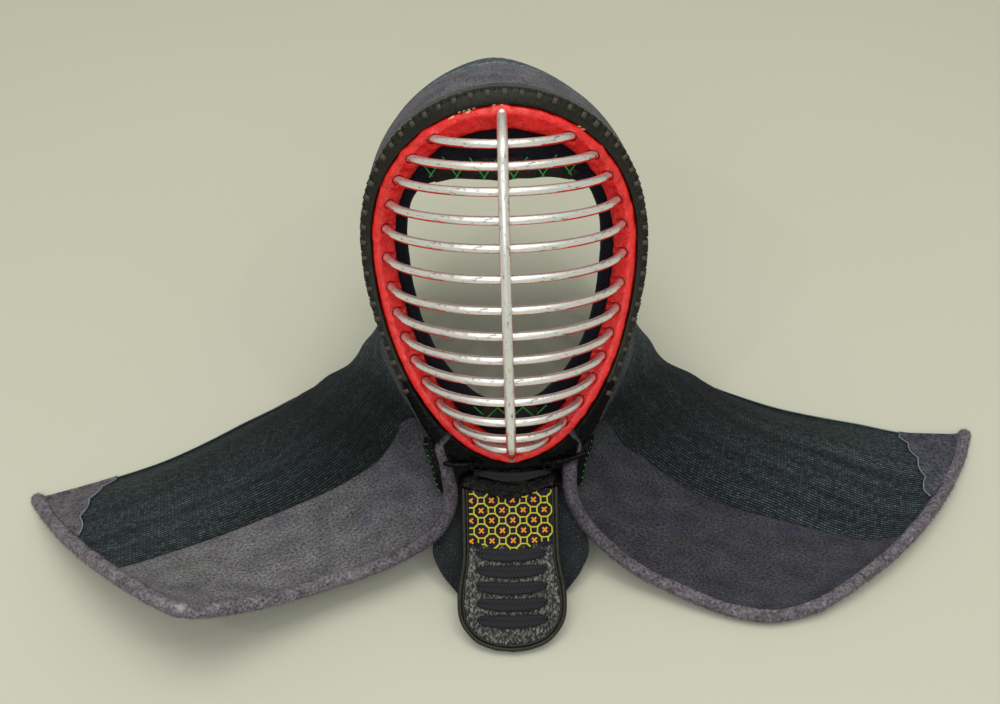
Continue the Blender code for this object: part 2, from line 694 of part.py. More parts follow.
class Hood:
    """The hood's middle surface: `along` counts sections, `across` runs 0 to 1 to the rear."""

    def __init__(self):
        sections = hood_sections()
        self.fronts, self.middles, self.rears = (np.array([s[k] for s in sections]) for k in range(3))
        self.last = len(sections) - 1
        self.free_left = float(len(FREE_LEFT) - 1)
        self.free_right = float(self.last - len(FREE_RIGHT) + 1)
        dome = [row[0] for row in DOME_SECTIONS]
        jaw_left, jaw_right = ([row[0] for row in jaw] for jaw in (JAW_LEFT, JAW_RIGHT))
        self.angles = [-a for a in (dome + jaw_left)[:0:-1]] + dome + jaw_right

    def at(self, along, across):
        """Return a point of the surface."""
        front, middle, rear = (curve_at(line, along) for line in (self.fronts, self.middles, self.rears))
        return (front * (1 - across) * (1 - 2 * across) + middle * 4 * across * (1 - across)
                + rear * across * (2 * across - 1))

    def spacing(self, along, across):
        """Return how many metres one section's step is, near a place."""
        one = self.at(max(along - 0.25, 0.0), across)
        two = self.at(min(along + 0.25, self.last), across)
        step = min(along + 0.25, self.last) - max(along - 0.25, 0.0)
        return np.linalg.norm(two - one) / step

    def slant(self, along, across):
        """Return the sine of the angle between a section and a row at a place."""
        low, high = max(across - 0.02, 0.0), min(across + 0.02, 1.0)
        section = unit(self.at(along, high) - self.at(along, low))
        before, after = max(along - 0.25, 0.0), min(along + 0.25, self.last)
        row = unit(self.at(after, across) - self.at(before, across))
        return np.linalg.norm(np.cross(section, row))

    def from_end(self, side, distance, across):
        """Return the place on a row that lies a distance in from a flap's end."""
        end = 0.0 if side < 0 else float(self.last)
        return end - side * distance / (self.spacing(end, across) * self.slant(end, across))

    def share_of(self, along, across, distance):
        """Return the share of a section that lies within a distance of its front or rear edge."""
        step = 0.01 if across < 0.5 else -0.01
        run = np.linalg.norm(self.at(along, across + step) - self.at(along, across))
        return distance * abs(step) / (run * self.slant(along, across))

    def front_inward(self, along):
        """Return the direction into the sheet, square to its front edge."""
        run = unit(self.at(min(along + 0.25, self.last), 0.0) - self.at(max(along - 0.25, 0.0), 0.0))
        section = self.at(along, 0.02) - self.at(along, 0.0)
        return unit(section - section.dot(run) * run)

    def end_inward(self, side, across):
        """Return the direction into the sheet, square to a flap's end edge."""
        end = 0.0 if side < 0 else float(self.last)
        run = unit(self.at(end, min(across + 0.02, 1.0)) - self.at(end, max(across - 0.02, 0.0)))
        row = self.at(end - 0.1 * side, across) - self.at(end, across)
        return unit(row - row.dot(run) * run)

    def free_share(self, along):
        """Return 1 where the front edge is free and bordered, and 0 where the rim holds it."""
        away = max(self.free_left + 1.0 - along, along - self.free_right + 1.0, 0.0)
        return min(2.0 * away, 1.0)

    def rim_angle(self, along):
        """Return the angle on the rim where a section is sewn, in degrees."""
        return curve_at([[a] for a in self.angles], along - self.free_left - 1.0)[0]

    def inset(self, along, across, distance):
        """Return how far a point moves in to leave a border's room along the free edges."""
        front = self.free_share(along) * self.front_inward(along)
        if 0.0 < along < self.last:
            return (1 - across) * distance * front
        end = self.end_inward(-1 if along == 0.0 else 1, across)
        if across > 0.0:
            return distance * end
        return distance * (front + end) / (1 + front.dot(end))


def build_hood(parent, cloth):
    """Build the padded sheet, and return its surface for what is sewn on it."""
    hood = Hood()
    room = BORDER_DIAMETER / 2 + BORDER_GAP
    grid = []
    fronts = {}
    for k in range(hood.last * HOOD_COLUMNS + 1):
        place = k / HOOD_COLUMNS
        if hood.free_share(place) == 0.0:
            fronts[k] = leaned_outward(hood.rim_angle(place))
        strip = 1.0 - hood.share_of(place, 1.0, REST_STRIP)
        row = [hood.at(place, across) + hood.inset(place, across, room)
               for across in (*spread(0.0, strip, HOOD_ROWS), 1.0)]
        if row[-1][2] < HOOD_THICKNESS / 2:
            row[-2][2] = row[-1][2]
        grid.append(row)
    sheet("hood", grid, HOOD_THICKNESS, cloth, parent, floor=0.0, fronts=fronts)
    return hood


def border_path(hood, side):
    """Return a border's path, from the chin round the front corner to the rear corner."""
    end = 0.0 if side < 0 else float(hood.last)
    start = hood.free_left if side < 0 else hood.free_right
    count = round(abs(end - start) * HOOD_COLUMNS)
    front = [hood.at(start + side * BORDER_START, 0.0)]
    front += [hood.at(start + side * k / HOOD_COLUMNS, 0.0) for k in range(1, count)]
    corner = hood.at(end, 0.0)
    edge = [hood.at(end, across) for across in spread(0.0, 1.0, HOOD_ROWS)[1:]]
    before = corner + BORDER_CORNER * unit(front[-1] - corner)
    after = corner + BORDER_CORNER * unit(edge[0] - corner)
    return [*front, before, 0.25 * before + 0.5 * corner + 0.25 * after, after, *edge]


def build_border(hood, side, name, parent, suede):
    """Build the rolled edging of one flap."""
    rings = tube_rings(border_path(hood, side), BORDER_DIAMETER / 2)
    for ring in rings:
        for point in ring:
            point[2] = max(point[2], 0.0)
    sweep(name, rings, suede, parent)


def build_patch(hood, side, name, parent, suede):
    """Build the scalloped patch on a flap's rear corner."""
    edge = BORDER_DIAMETER / 2 + BORDER_GAP
    end = 0.0 if side < 0 else float(hood.last)
    grid = []
    for k in range(17):
        share = k / 16
        scallop = abs(math.sin(math.pi * PATCH_SCALLOPS * share))
        reach = PATCH_ACROSS * (1 - 0.92 * share) - SCALLOP_DEPTH * (1 - scallop) * (1 - share)
        row = []
        for j in range(5):
            across = 1.0 - hood.share_of(end, 1.0, 0.002 + reach * j / 4)
            row.append(hood.at(hood.from_end(side, edge + share * PATCH_ALONG, across), across))
        grid.append(row)
    lift = side * (HOOD_THICKNESS / 2 + SEWN_GAP + PATCH_THICKNESS / 2)
    sheet(name, grid, PATCH_THICKNESS, suede, parent, floor=0.0, lift=lift)


def build_tongue(hood, side, name, parent, leather):
    """Build the leather tongue from the rim's end down over the flap's inner corner."""
    start = hood.free_left if side < 0 else hood.free_right
    edge = BORDER_DIAMETER / 2 + BORDER_GAP
    grid = []
    for share in spread(0.05, 1.55, 10):
        along = start + side * share
        reach = TONGUE_WIDTH * (1.0 if share < 0.7 else 1.0 - 0.65 * (share - 0.7))
        grid.append([hood.at(along, hood.share_of(along, 0.0, edge + reach * x)) for x in spread(0.0, 1.0, 2)])
    lift = side * (HOOD_THICKNESS / 2 + SEWN_GAP + TONGUE_THICKNESS / 2)
    sheet(name, grid, TONGUE_THICKNESS, leather, parent, lift=lift)


# The whole.

def add_empty(name, parent=None):
    """Return an empty that other objects are placed by."""
    empty = bpy.data.objects.new(name, None)
    empty.parent = parent
    bpy.context.scene.collection.objects.link(empty)
    return empty


def centre_on_origin(root):
    """Move the root so that the whole stands centred on the origin."""
    bpy.context.view_layer.update()
    graph = bpy.context.evaluated_depsgraph_get()
    corners = []
    for obj in bpy.context.scene.objects:
        if obj.type == "MESH" and not obj.hide_render:
            shown = obj.evaluated_get(graph)
            corners += [list(shown.matrix_world @ vertex.co) for vertex in shown.data.vertices]
    middle = (np.min(corners, axis=0) + np.max(corners, axis=0)) / 2
    root.location = (-middle[0], -middle[1], 0.0)


def main():
    """Build the mask."""
    for obj in list(bpy.data.objects):
        bpy.data.objects.remove(obj, do_unlink=True)
    metal = finish("brushed duralumin", (0.72, 0.72, 0.72), 0.28, 1.0)
    red = finish("red lacquer", (0.62, 0.06, 0.05), 0.30)
    black = finish("black lacquer", (0.012, 0.012, 0.010), 0.22)
    quilt = finish("indigo quilted cotton", (0.022, 0.028, 0.034), 0.95)
    suede = finish("indigo suede", (0.13, 0.12, 0.14), 0.95)
    navy = finish("navy cotton", (0.012, 0.015, 0.028), 0.9)
    leather = finish("pebbled black leather", (0.03, 0.03, 0.032), 0.45)
    thread = finish("yellow embroidery", (0.45, 0.42, 0.08), 0.8)

    root = add_empty("mask")
    face = add_empty("face", root)
    face.location = (0.0, 0.0, CENTRE_HEIGHT)
    face.rotation_euler = (-LEAN, 0.0, 0.0)
    build_ring(face, red)
    build_grill(face, metal)
    build_rim(face, black)
    build_pads(face, navy, leather)
    build_chin(face, black, navy)

    guard = add_empty("guard", root)
    guard.location, tilt = guard_place()
    guard.rotation_euler = (tilt, 0.0, 0.0)
    build_guard(guard, leather, black, navy, thread)
    build_collar(root, black)
    build_inner_guard(root, navy)

    hood = build_hood(root, quilt)
    for side, name in ((-1, "left"), (1, "right")):
        build_border(hood, side, "flap_border_" + name, root, suede)
        build_patch(hood, side, "corner_patch_" + name, root, suede)
        build_tongue(hood, side, "rim_tongue_" + name, root, leather)
    centre_on_origin(root)


main()
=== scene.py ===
"""Looks of a kendo mask that leans back at rest on a pale ground.

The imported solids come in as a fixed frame. Each sub-assembly below repeats the design's
own sections and paths at a finer step and dresses them in the real materials. Lengths
are metres. The face frame has its origin at the ring's centre, +X to the viewer's right
and +Y to the back of the head; the guard frame lies on the throat guard's plane.
"""
from __future__ import annotations

import logging
import math
import sys
from dataclasses import dataclass, field, fields
from enum import Enum
from functools import cached_property, partial
from typing import Any, Callable, Sequence

import bmesh
import bpy
import numpy as np
from mathutils import Matrix, Vector, noise


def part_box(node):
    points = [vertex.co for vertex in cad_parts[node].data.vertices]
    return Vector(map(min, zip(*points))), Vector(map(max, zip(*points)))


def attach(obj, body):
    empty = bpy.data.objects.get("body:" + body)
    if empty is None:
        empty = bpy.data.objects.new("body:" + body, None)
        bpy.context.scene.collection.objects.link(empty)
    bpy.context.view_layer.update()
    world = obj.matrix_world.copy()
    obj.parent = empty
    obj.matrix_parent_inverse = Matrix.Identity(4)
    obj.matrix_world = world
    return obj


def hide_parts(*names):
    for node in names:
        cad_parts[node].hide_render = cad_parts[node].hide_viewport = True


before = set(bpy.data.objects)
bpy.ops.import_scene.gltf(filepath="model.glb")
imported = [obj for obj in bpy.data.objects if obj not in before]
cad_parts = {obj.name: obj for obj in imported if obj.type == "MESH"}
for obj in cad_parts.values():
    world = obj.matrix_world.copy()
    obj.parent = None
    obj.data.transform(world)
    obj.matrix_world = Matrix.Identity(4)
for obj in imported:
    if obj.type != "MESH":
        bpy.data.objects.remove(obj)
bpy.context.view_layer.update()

Array = np.ndarray
Colour = tuple[float, float, float, float]
Material = bpy.types.Material
Node = bpy.types.Node
Piece = bpy.types.Object
Tree = bpy.types.NodeTree
Add = Callable[..., Node]
LOG = logging.getLogger("kendo_mask")
GAP = 0.0003


class Side(Enum):
    """The viewer's left or right, as the sign of x."""

    LEFT = -1
    RIGHT = 1


class Gloss(Enum):
    """How black lacquer is finished: its roughness, and how deep its lumps are."""

    SATIN = (0.36, 0.00010)
    WET = (0.06, 0.00030)


# Curves.

def vec(*values: float) -> Array:
    """Return a point as an array."""
    return np.array(values, dtype=float)


def unit(v: Array) -> Array:
    """Return the direction of v."""
    return v / np.linalg.norm(v)


def spread(first: float, last: float, steps: int) -> list[float]:
    """Return evenly spaced values, with both ends."""
    return [first + (last - first) * k / steps for k in range(steps + 1)]


def curve_at(points: Any, place: float) -> Array:
    """Return the smooth curve through points, or rows of points, at a place.

    Args:
        points: The points that the curve goes through.
        place: Where on the curve, counted in points.

    Returns:
        The point or row of points there.
    """
    points = np.asarray(points, dtype=float)
    last = len(points) - 1
    place = min(max(place, 0.0), float(last))
    k = min(int(place), last - 1)
    t = place - k
    before = points[k - 1] if k > 0 else 2 * points[0] - points[1]
    after = points[k + 2] if k + 2 <= last else 2 * points[last] - points[last - 1]
    start, end = points[k], points[k + 1]
    return 0.5 * (2 * start + (end - before) * t
                  + (2 * before - 5 * start + 4 * end - after) * t * t
                  + (3 * start - before - 3 * end + after) * t ** 3)


def smooth(points: Any, fine: int) -> list[Array]:
    """Return the smooth curve through points, in fine steps from each to the next."""
    return [curve_at(points, k / fine) for k in range(fine * (len(points) - 1) + 1)]


def between(start: Array, end: Array, steps: int) -> list[Array]:
    """Return evenly spaced points from one to another, with both ends."""
    return [start + (end - start) * share for share in spread(0.0, 1.0, steps)]


def run_of(points: Any) -> Array:
    """Return how far along a line each of its points lies."""
    return np.concatenate([[0.0], np.cumsum(np.linalg.norm(np.diff(points, axis=0), axis=1))])


def loop_through(points: Any, count: int) -> Array:
    """Return count points of the smooth closed curve through points."""
    points = np.asarray(points, dtype=float)
    padded = np.concatenate([points[-1:], points, points[:2]])
    return np.array([curve_at(padded, 1 + len(points) * k / count) for k in range(count)])


def table_at(rows: Sequence[Sequence[float]], key: float) -> Array:
    """Return the values of a table's rows at a key between its first and last.

    Args:
        rows: The rows, each its key and then its values.
        key: The key.

    Returns:
        The values there, on a smooth curve through the rows.
    """
    keys = [row[0] for row in rows]
    key = min(max(key, keys[0]), keys[-1])
    k = min(int(np.searchsorted(keys, key, side="right")) - 1, len(keys) - 2)
    share = (key - keys[k]) / (keys[k + 1] - keys[k])
    return curve_at([row[1:] for row in rows], k + share)


def ease(low: float, high: float, value: Any) -> Any:
    """Return 0 below low and 1 above high, with a smooth rise between them."""
    t = np.clip((np.asarray(value, dtype=float) - low) / (high - low), 0.0, 1.0)
    return t * t * (3 - 2 * t)


def lump(point: Any, size: float, seed: float) -> float:
    """Return smooth noise from -1 to 1 at a point, with lumps of a size."""
    return noise.noise(Vector(point) / size + Vector((seed, 1.7 * seed, 0.3 * seed)))


# Meshes.

@dataclass
class Shape:
    """Points, faces, UVs in metres and marks that add up to one piece's mesh."""

    points: list[Array] = field(default_factory=list)
    faces: list[list[int]] = field(default_factory=list)
    uvs: list[Array] = field(default_factory=list)
    marks: dict[str, list[Array]] = field(default_factory=dict)
    count: int = 0

    def add_points(self, points: Array, marks: dict[str, Array] | None = None) -> int:
        """Add points and return the first one's number."""
        start = self.count
        self.points.append(points.reshape(-1, 3))
        for name, values in (marks or {}).items():
            self.marks.setdefault(name, []).append(values.reshape(-1))
        self.count += len(self.points[-1])
        return start

    def quads(self, numbers: Array, uv: Array, turned: bool = False) -> None:
        """Add the faces between a lattice of point numbers.

        Args:
            numbers: Point numbers in rows and columns, the first repeated where it closes.
            uv: The UV of each of them.
            turned: Whether the faces look the other way.
        """
        corners = ((0, 0), (0, 1), (1, 1), (1, 0)) if turned else ((0, 0), (1, 0), (1, 1), (0, 1))
        rows, columns = numbers.shape[0] - 1, numbers.shape[1] - 1
        cut = [(slice(i, i + rows), slice(j, j + columns)) for i, j in corners]
        self.faces.extend(np.stack([numbers[c] for c in cut], -1).reshape(-1, 4).tolist())
        self.uvs.append(np.stack([uv[c] for c in cut], -2).reshape(-1, 2))

    def cap(self, numbers: Array) -> None:
        """Close a ring of points with one face."""
        self.faces.append([int(n) for n in numbers])
        self.uvs.append(np.zeros((len(numbers), 2)))

    def sweep(self, rings: Array, closed: bool = False) -> None:
        """Add a body that joins each ring to the next, with end caps if it is open."""
        rings = np.asarray(rings, dtype=float)
        start = self.add_points(rings)
        numbers = start + np.arange(rings.shape[0] * rings.shape[1]).reshape(rings.shape[:2])
        ends = numbers
        numbers = np.concatenate([numbers, numbers[:, :1]], axis=1)
        turns = np.concatenate([rings, rings[:, :1]], axis=1)
        if closed:
            numbers = np.concatenate([numbers, numbers[:1]])
            turns = np.concatenate([turns, turns[:1]])
        steps = np.linalg.norm(np.diff(turns, axis=1), axis=2).mean(axis=0)
        runs = np.linalg.norm(np.diff(turns, axis=0), axis=2).mean(axis=1)
        around = np.concatenate([[0.0], np.cumsum(steps)])
        along = np.concatenate([[0.0], np.cumsum(runs)])
        uv = np.stack(np.meshgrid(along, around, indexing="ij"), -1)
        self.quads(numbers, uv)
        if not closed:
            self.cap(ends[0][::-1])
            self.cap(ends[-1])

    def tube(self, path: Any, radius: Any, sides: int = 12, up: Any = (0.0, 0.0, 1.0),
             flat: float = 1.0) -> None:
        """Add a round-ended tube along a path.

        Args:
            path: The points that it follows.
            radius: Its radius, as one number or one for each point.
            sides: How many sides it has.
            up: A direction that is never along the path.
            flat: Its height as a share of its width.
        """
        path = np.asarray(path, dtype=float)
        sizes = np.ones(len(path)) * radius
        first, last = unit(path[0] - path[1]), unit(path[-1] - path[-2])
        turns = [math.radians(a) for a in (80.0, 52.0, 26.0)]
        head = [path[0] + first * sizes[0] * math.sin(a) for a in turns]
        tail = [path[-1] + last * sizes[-1] * math.sin(a) for a in reversed(turns)]
        shrink = [math.cos(a) for a in turns]
        path = np.array([*head, *path, *tail])
        ends = [sizes[0] * s for s in shrink], [sizes[-1] * s for s in reversed(shrink)]
        sizes = np.array([*ends[0], *sizes, *ends[1]])
        rings = []
        for k, point in enumerate(path):
            along = unit(path[min(k + 1, len(path) - 1)] - path[max(k - 1, 0)])
            side = unit(np.cross(along, up))
            over = np.cross(side, along)
            angles = [j * math.tau / sides for j in range(sides)]
            rings.append([point + sizes[k] * (math.cos(a) * side + flat * math.sin(a) * over)
                          for a in angles])
        self.sweep(rings)

    def sheet(self, grid: Any, thickness: float, lift: float = 0.0, floor: float | None = None,
              normals: Array | None = None, relief: Array | None = None,
              uv: Array | None = None, marks: dict[str, Array] | None = None) -> None:
        """Add a closed sheet about a grid of points.

        Args:
            grid: The middle surface, in rows and columns of points.
            thickness: How thick it is.
            lift: How far the middle surface is moved along its normals.
            floor: The height that no point goes below.
            normals: The directions that it is thickened in, if not the surface's own.
            relief: How far each point of both faces stands out further.
            uv: The UV of each point, if not its run along rows and columns.
            marks: Values of each point that the finish reads.
        """
        grid = np.asarray(grid, dtype=float)
        if normals is None:
            normals = normals_of(grid)
        if uv is None:
            uv = runs_of(grid)
        extra = 0.0 if relief is None else relief[..., None]
        numbers = []
        for sign in (1.0, -1.0):
            points = grid + normals * (lift + sign * (thickness / 2 + extra))
            if floor is not None:
                points[:, :, 2] = np.maximum(points[:, :, 2], floor)
            start = self.add_points(points, marks)
            numbers.append(start + np.arange(grid.shape[0] * grid.shape[1]).reshape(grid.shape[:2]))
        top, under = numbers
        self.quads(top, uv)
        self.quads(under, uv, turned=True)
        for line in (np.s_[0, :], np.s_[-1, :], np.s_[:, 0], np.s_[:, -1]):
            self.quads(np.stack([top[line], under[line]]), np.stack([uv[line], uv[line] + thickness]))

    def build(self, name: str, finish: Material, crease: float = 40.0) -> Piece:
        """Return the piece, with its faces pointing out.

        Args:
            name: The object's name.
            finish: Its material.
            crease: The angle in degrees past which an edge stays sharp.

        Returns:
            The new object, at the origin.
        """
        mesh = bpy.data.meshes.new(name)
        mesh.from_pydata(np.concatenate(self.points).tolist(), [], self.faces)
        layer = mesh.uv_layers.new(name="Surface")
        layer.data.foreach_set("uv", np.concatenate(self.uvs).reshape(-1))
        for key, values in self.marks.items():
            mark = mesh.attributes.new(key, "FLOAT", "POINT")
            mark.data.foreach_set("value", np.concatenate(values))
        bm = bmesh.new()
        bm.from_mesh(mesh)
        bmesh.ops.recalc_face_normals(bm, faces=bm.faces)
        bm.to_mesh(mesh)
        bm.free()
        mesh.shade_smooth()
        mesh.set_sharp_from_angle(angle=math.radians(crease))
        mesh.materials.append(finish)
        piece = bpy.data.objects.new(name, mesh)
        bpy.context.scene.collection.objects.link(piece)
        return piece


def normals_of(grid: Array) -> Array:
    """Return the unit normals of a grid of points."""
    across = np.cross(np.gradient(grid, axis=0), np.gradient(grid, axis=1))
    return across / np.linalg.norm(across, axis=2, keepdims=True)


def runs_of(grid: Array) -> Array:
    """Return UVs in metres: the mean run along the rows, and the mean run across them."""
    rows = np.linalg.norm(np.diff(grid, axis=0), axis=2).mean(axis=1)
    columns = np.linalg.norm(np.diff(grid, axis=1), axis=2).mean(axis=0)
    lines = [np.concatenate([[0.0], np.cumsum(run)]) for run in (rows, columns)]
    return np.stack(np.meshgrid(*lines, indexing="ij"), -1)


def roughen(piece: Piece, size: float, height: float, seed: float) -> None:
    """Push a piece's points in and out along their normals by smooth lumps.

    Args:
        piece: The piece.
        size: How big the lumps are.
        height: How far they stand out.
        seed: Which lumps they are.
    """
    mesh = piece.data
    normals = [vertex.normal.copy() for vertex in mesh.vertices]
    for vertex, normal in zip(mesh.vertices, normals):
        vertex.co += normal * height * lump(vertex.co, size, seed)
    mesh.update()


def lift_to_ground(piece: Piece) -> None:
    """Raise the points of a piece that lie below the ground to it."""
    for vertex in piece.data.vertices:
        vertex.co.z = max(vertex.co.z, 0.0)


def settle(piece: Piece) -> Piece:
    """Turn a piece's modifiers into its plain mesh, and return it."""
    graph = bpy.context.evaluated_depsgraph_get()
    mesh = bpy.data.meshes.new_from_object(piece.evaluated_get(graph), depsgraph=graph)
    piece.modifiers.clear()
    old = piece.data
    piece.data = mesh
    bpy.data.meshes.remove(old)
    mesh.name = piece.name
    return piece


def round_edges(piece: Piece, width: float, segments: int = 3) -> Piece:
    """Round a piece's sharp edges.

    Args:
        piece: The piece.
        width: How far from an edge the rounding starts.
        segments: How many faces round an edge.

    Returns:
        The same piece.
    """
    bevel = piece.modifiers.new("Round", "BEVEL")
    bevel.width = width
    bevel.segments = segments
    bevel.angle_limit = math.radians(50.0)
    bevel.harden_normals = False
    settle(piece)
    piece.data.shade_smooth()
    return piece


def dress(piece: Piece, slot: str, *nodes: str) -> Piece:
    """Let a finished piece ride on the mask, hide the solids that it stands for, and log it.

    Args:
        piece: The piece.
        slot: Not used.
        nodes: The solids that it stands for.

    Returns:
        The same piece.
    """
    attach(piece, "root")
    if nodes:
        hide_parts(*nodes)
    LOG.info("%s: %d faces, for %s", piece.name, len(piece.data.polygons), nodes or "trim")
    return piece


# Node trees.

def linear(hex_colour: str) -> Colour:
    """Return an sRGB hex colour as the linear colour that nodes take."""
    parts = [int(hex_colour[k:k + 2], 16) / 255 for k in (1, 3, 5)]
    red, green, blue = (p / 12.92 if p <= 0.04045 else ((p + 0.055) / 1.055) ** 2.4 for p in parts)
    return red, green, blue, 1.0


def feed(node: Node, inputs: Any) -> None:
    """Set a node's inputs to values, outputs or nodes' first live outputs.

    Args:
        node: The node.
        inputs: What goes in, by the input's name or number, or in the inputs' order.
    """
    for key, value in inputs.items() if isinstance(inputs, dict) else enumerate(inputs):
        if isinstance(value, Node):
            value = next(output for output in value.outputs if output.enabled)
        if isinstance(value, bpy.types.NodeSocket):
            node.id_data.links.new(value, node.inputs[key])
        else:
            node.inputs[key].default_value = value


def add_node(tree: Tree, kind: str, inputs: Any = (),
             stops: Sequence[tuple[float, Colour]] = (), **settings: Any) -> Node:
    """Add a node to a tree.

    Args:
        tree: The tree.
        kind: The node's type, of which a shader's is given without its first two words.
        inputs: Values and links for its inputs, as feed takes them.
        stops: The places and colours of a colour ramp.
        settings: Its other settings.

    Returns:
        The new node.
    """
    node = tree.nodes.new(kind if kind.startswith(("Geometry", "Function", "NodeGroup")) else
                          "ShaderNode" + kind)
    for key, value in settings.items():
        setattr(node, key, value)
    for k, (place, colour) in enumerate(stops):
        element = node.color_ramp.elements[k] if k < 2 else node.color_ramp.elements.new(place)
        element.position = place
        element.color = colour
    feed(node, inputs)
    return node


def grey(value: float) -> Colour:
    """Return a grey for a mask's ramp."""
    return value, value, value, 1.0


@dataclass(frozen=True)
class Spot:
    """A worn or chipped place on a surface, in the row's frame."""

    place: tuple[float, float, float]
    radius: float


def spots_mask(add: Add, coords: Any, spots: Sequence[Spot], size: float,
               low: float, high: float) -> Any:
    """Return a mask of ragged patches about some spots.

    Args:
        add: Adds a node to the material's tree.
        coords: Object coordinates.
        spots: The places.
        size: The size of the patches' ragged shapes.
        low: The noise below which nothing shows.
        high: The noise above which a patch is whole.

    Returns:
        The mask's output.
    """
    total = None
    for spot in spots:
        away = add("VectorMath", (coords, spot.place), operation="DISTANCE")
        near = add("MapRange", (away, 0.0, spot.radius, 0.35, -0.6), clamp=True)
        value = near
        if total is not None:
            value = add("Math", (total, value), operation="MAXIMUM")
        total = value
    cloud = add("TexNoise", {"Vector": coords, "Scale": 1 / size, "Detail": 3.0})
    both = add("Math", (cloud, total), operation="ADD")
    mask = add("MapRange", (both, low, high))
    return mask


# Finishes. Each is one real material.

@dataclass(frozen=True)
class Finish:
    """What every finish has: the real material's name."""

    name: str

    def make(self) -> Material:
        """Return the finish as a new material."""
        material = bpy.data.materials.new(self.name)
        material.use_nodes = True
        tree = material.node_tree
        self.paint(partial(add_node, tree), tree.nodes["Principled BSDF"])
        return material

    def paint(self, add: Add, shader: Node) -> None:
        """Add the finish's nodes, which end in shader."""
        raise NotImplementedError


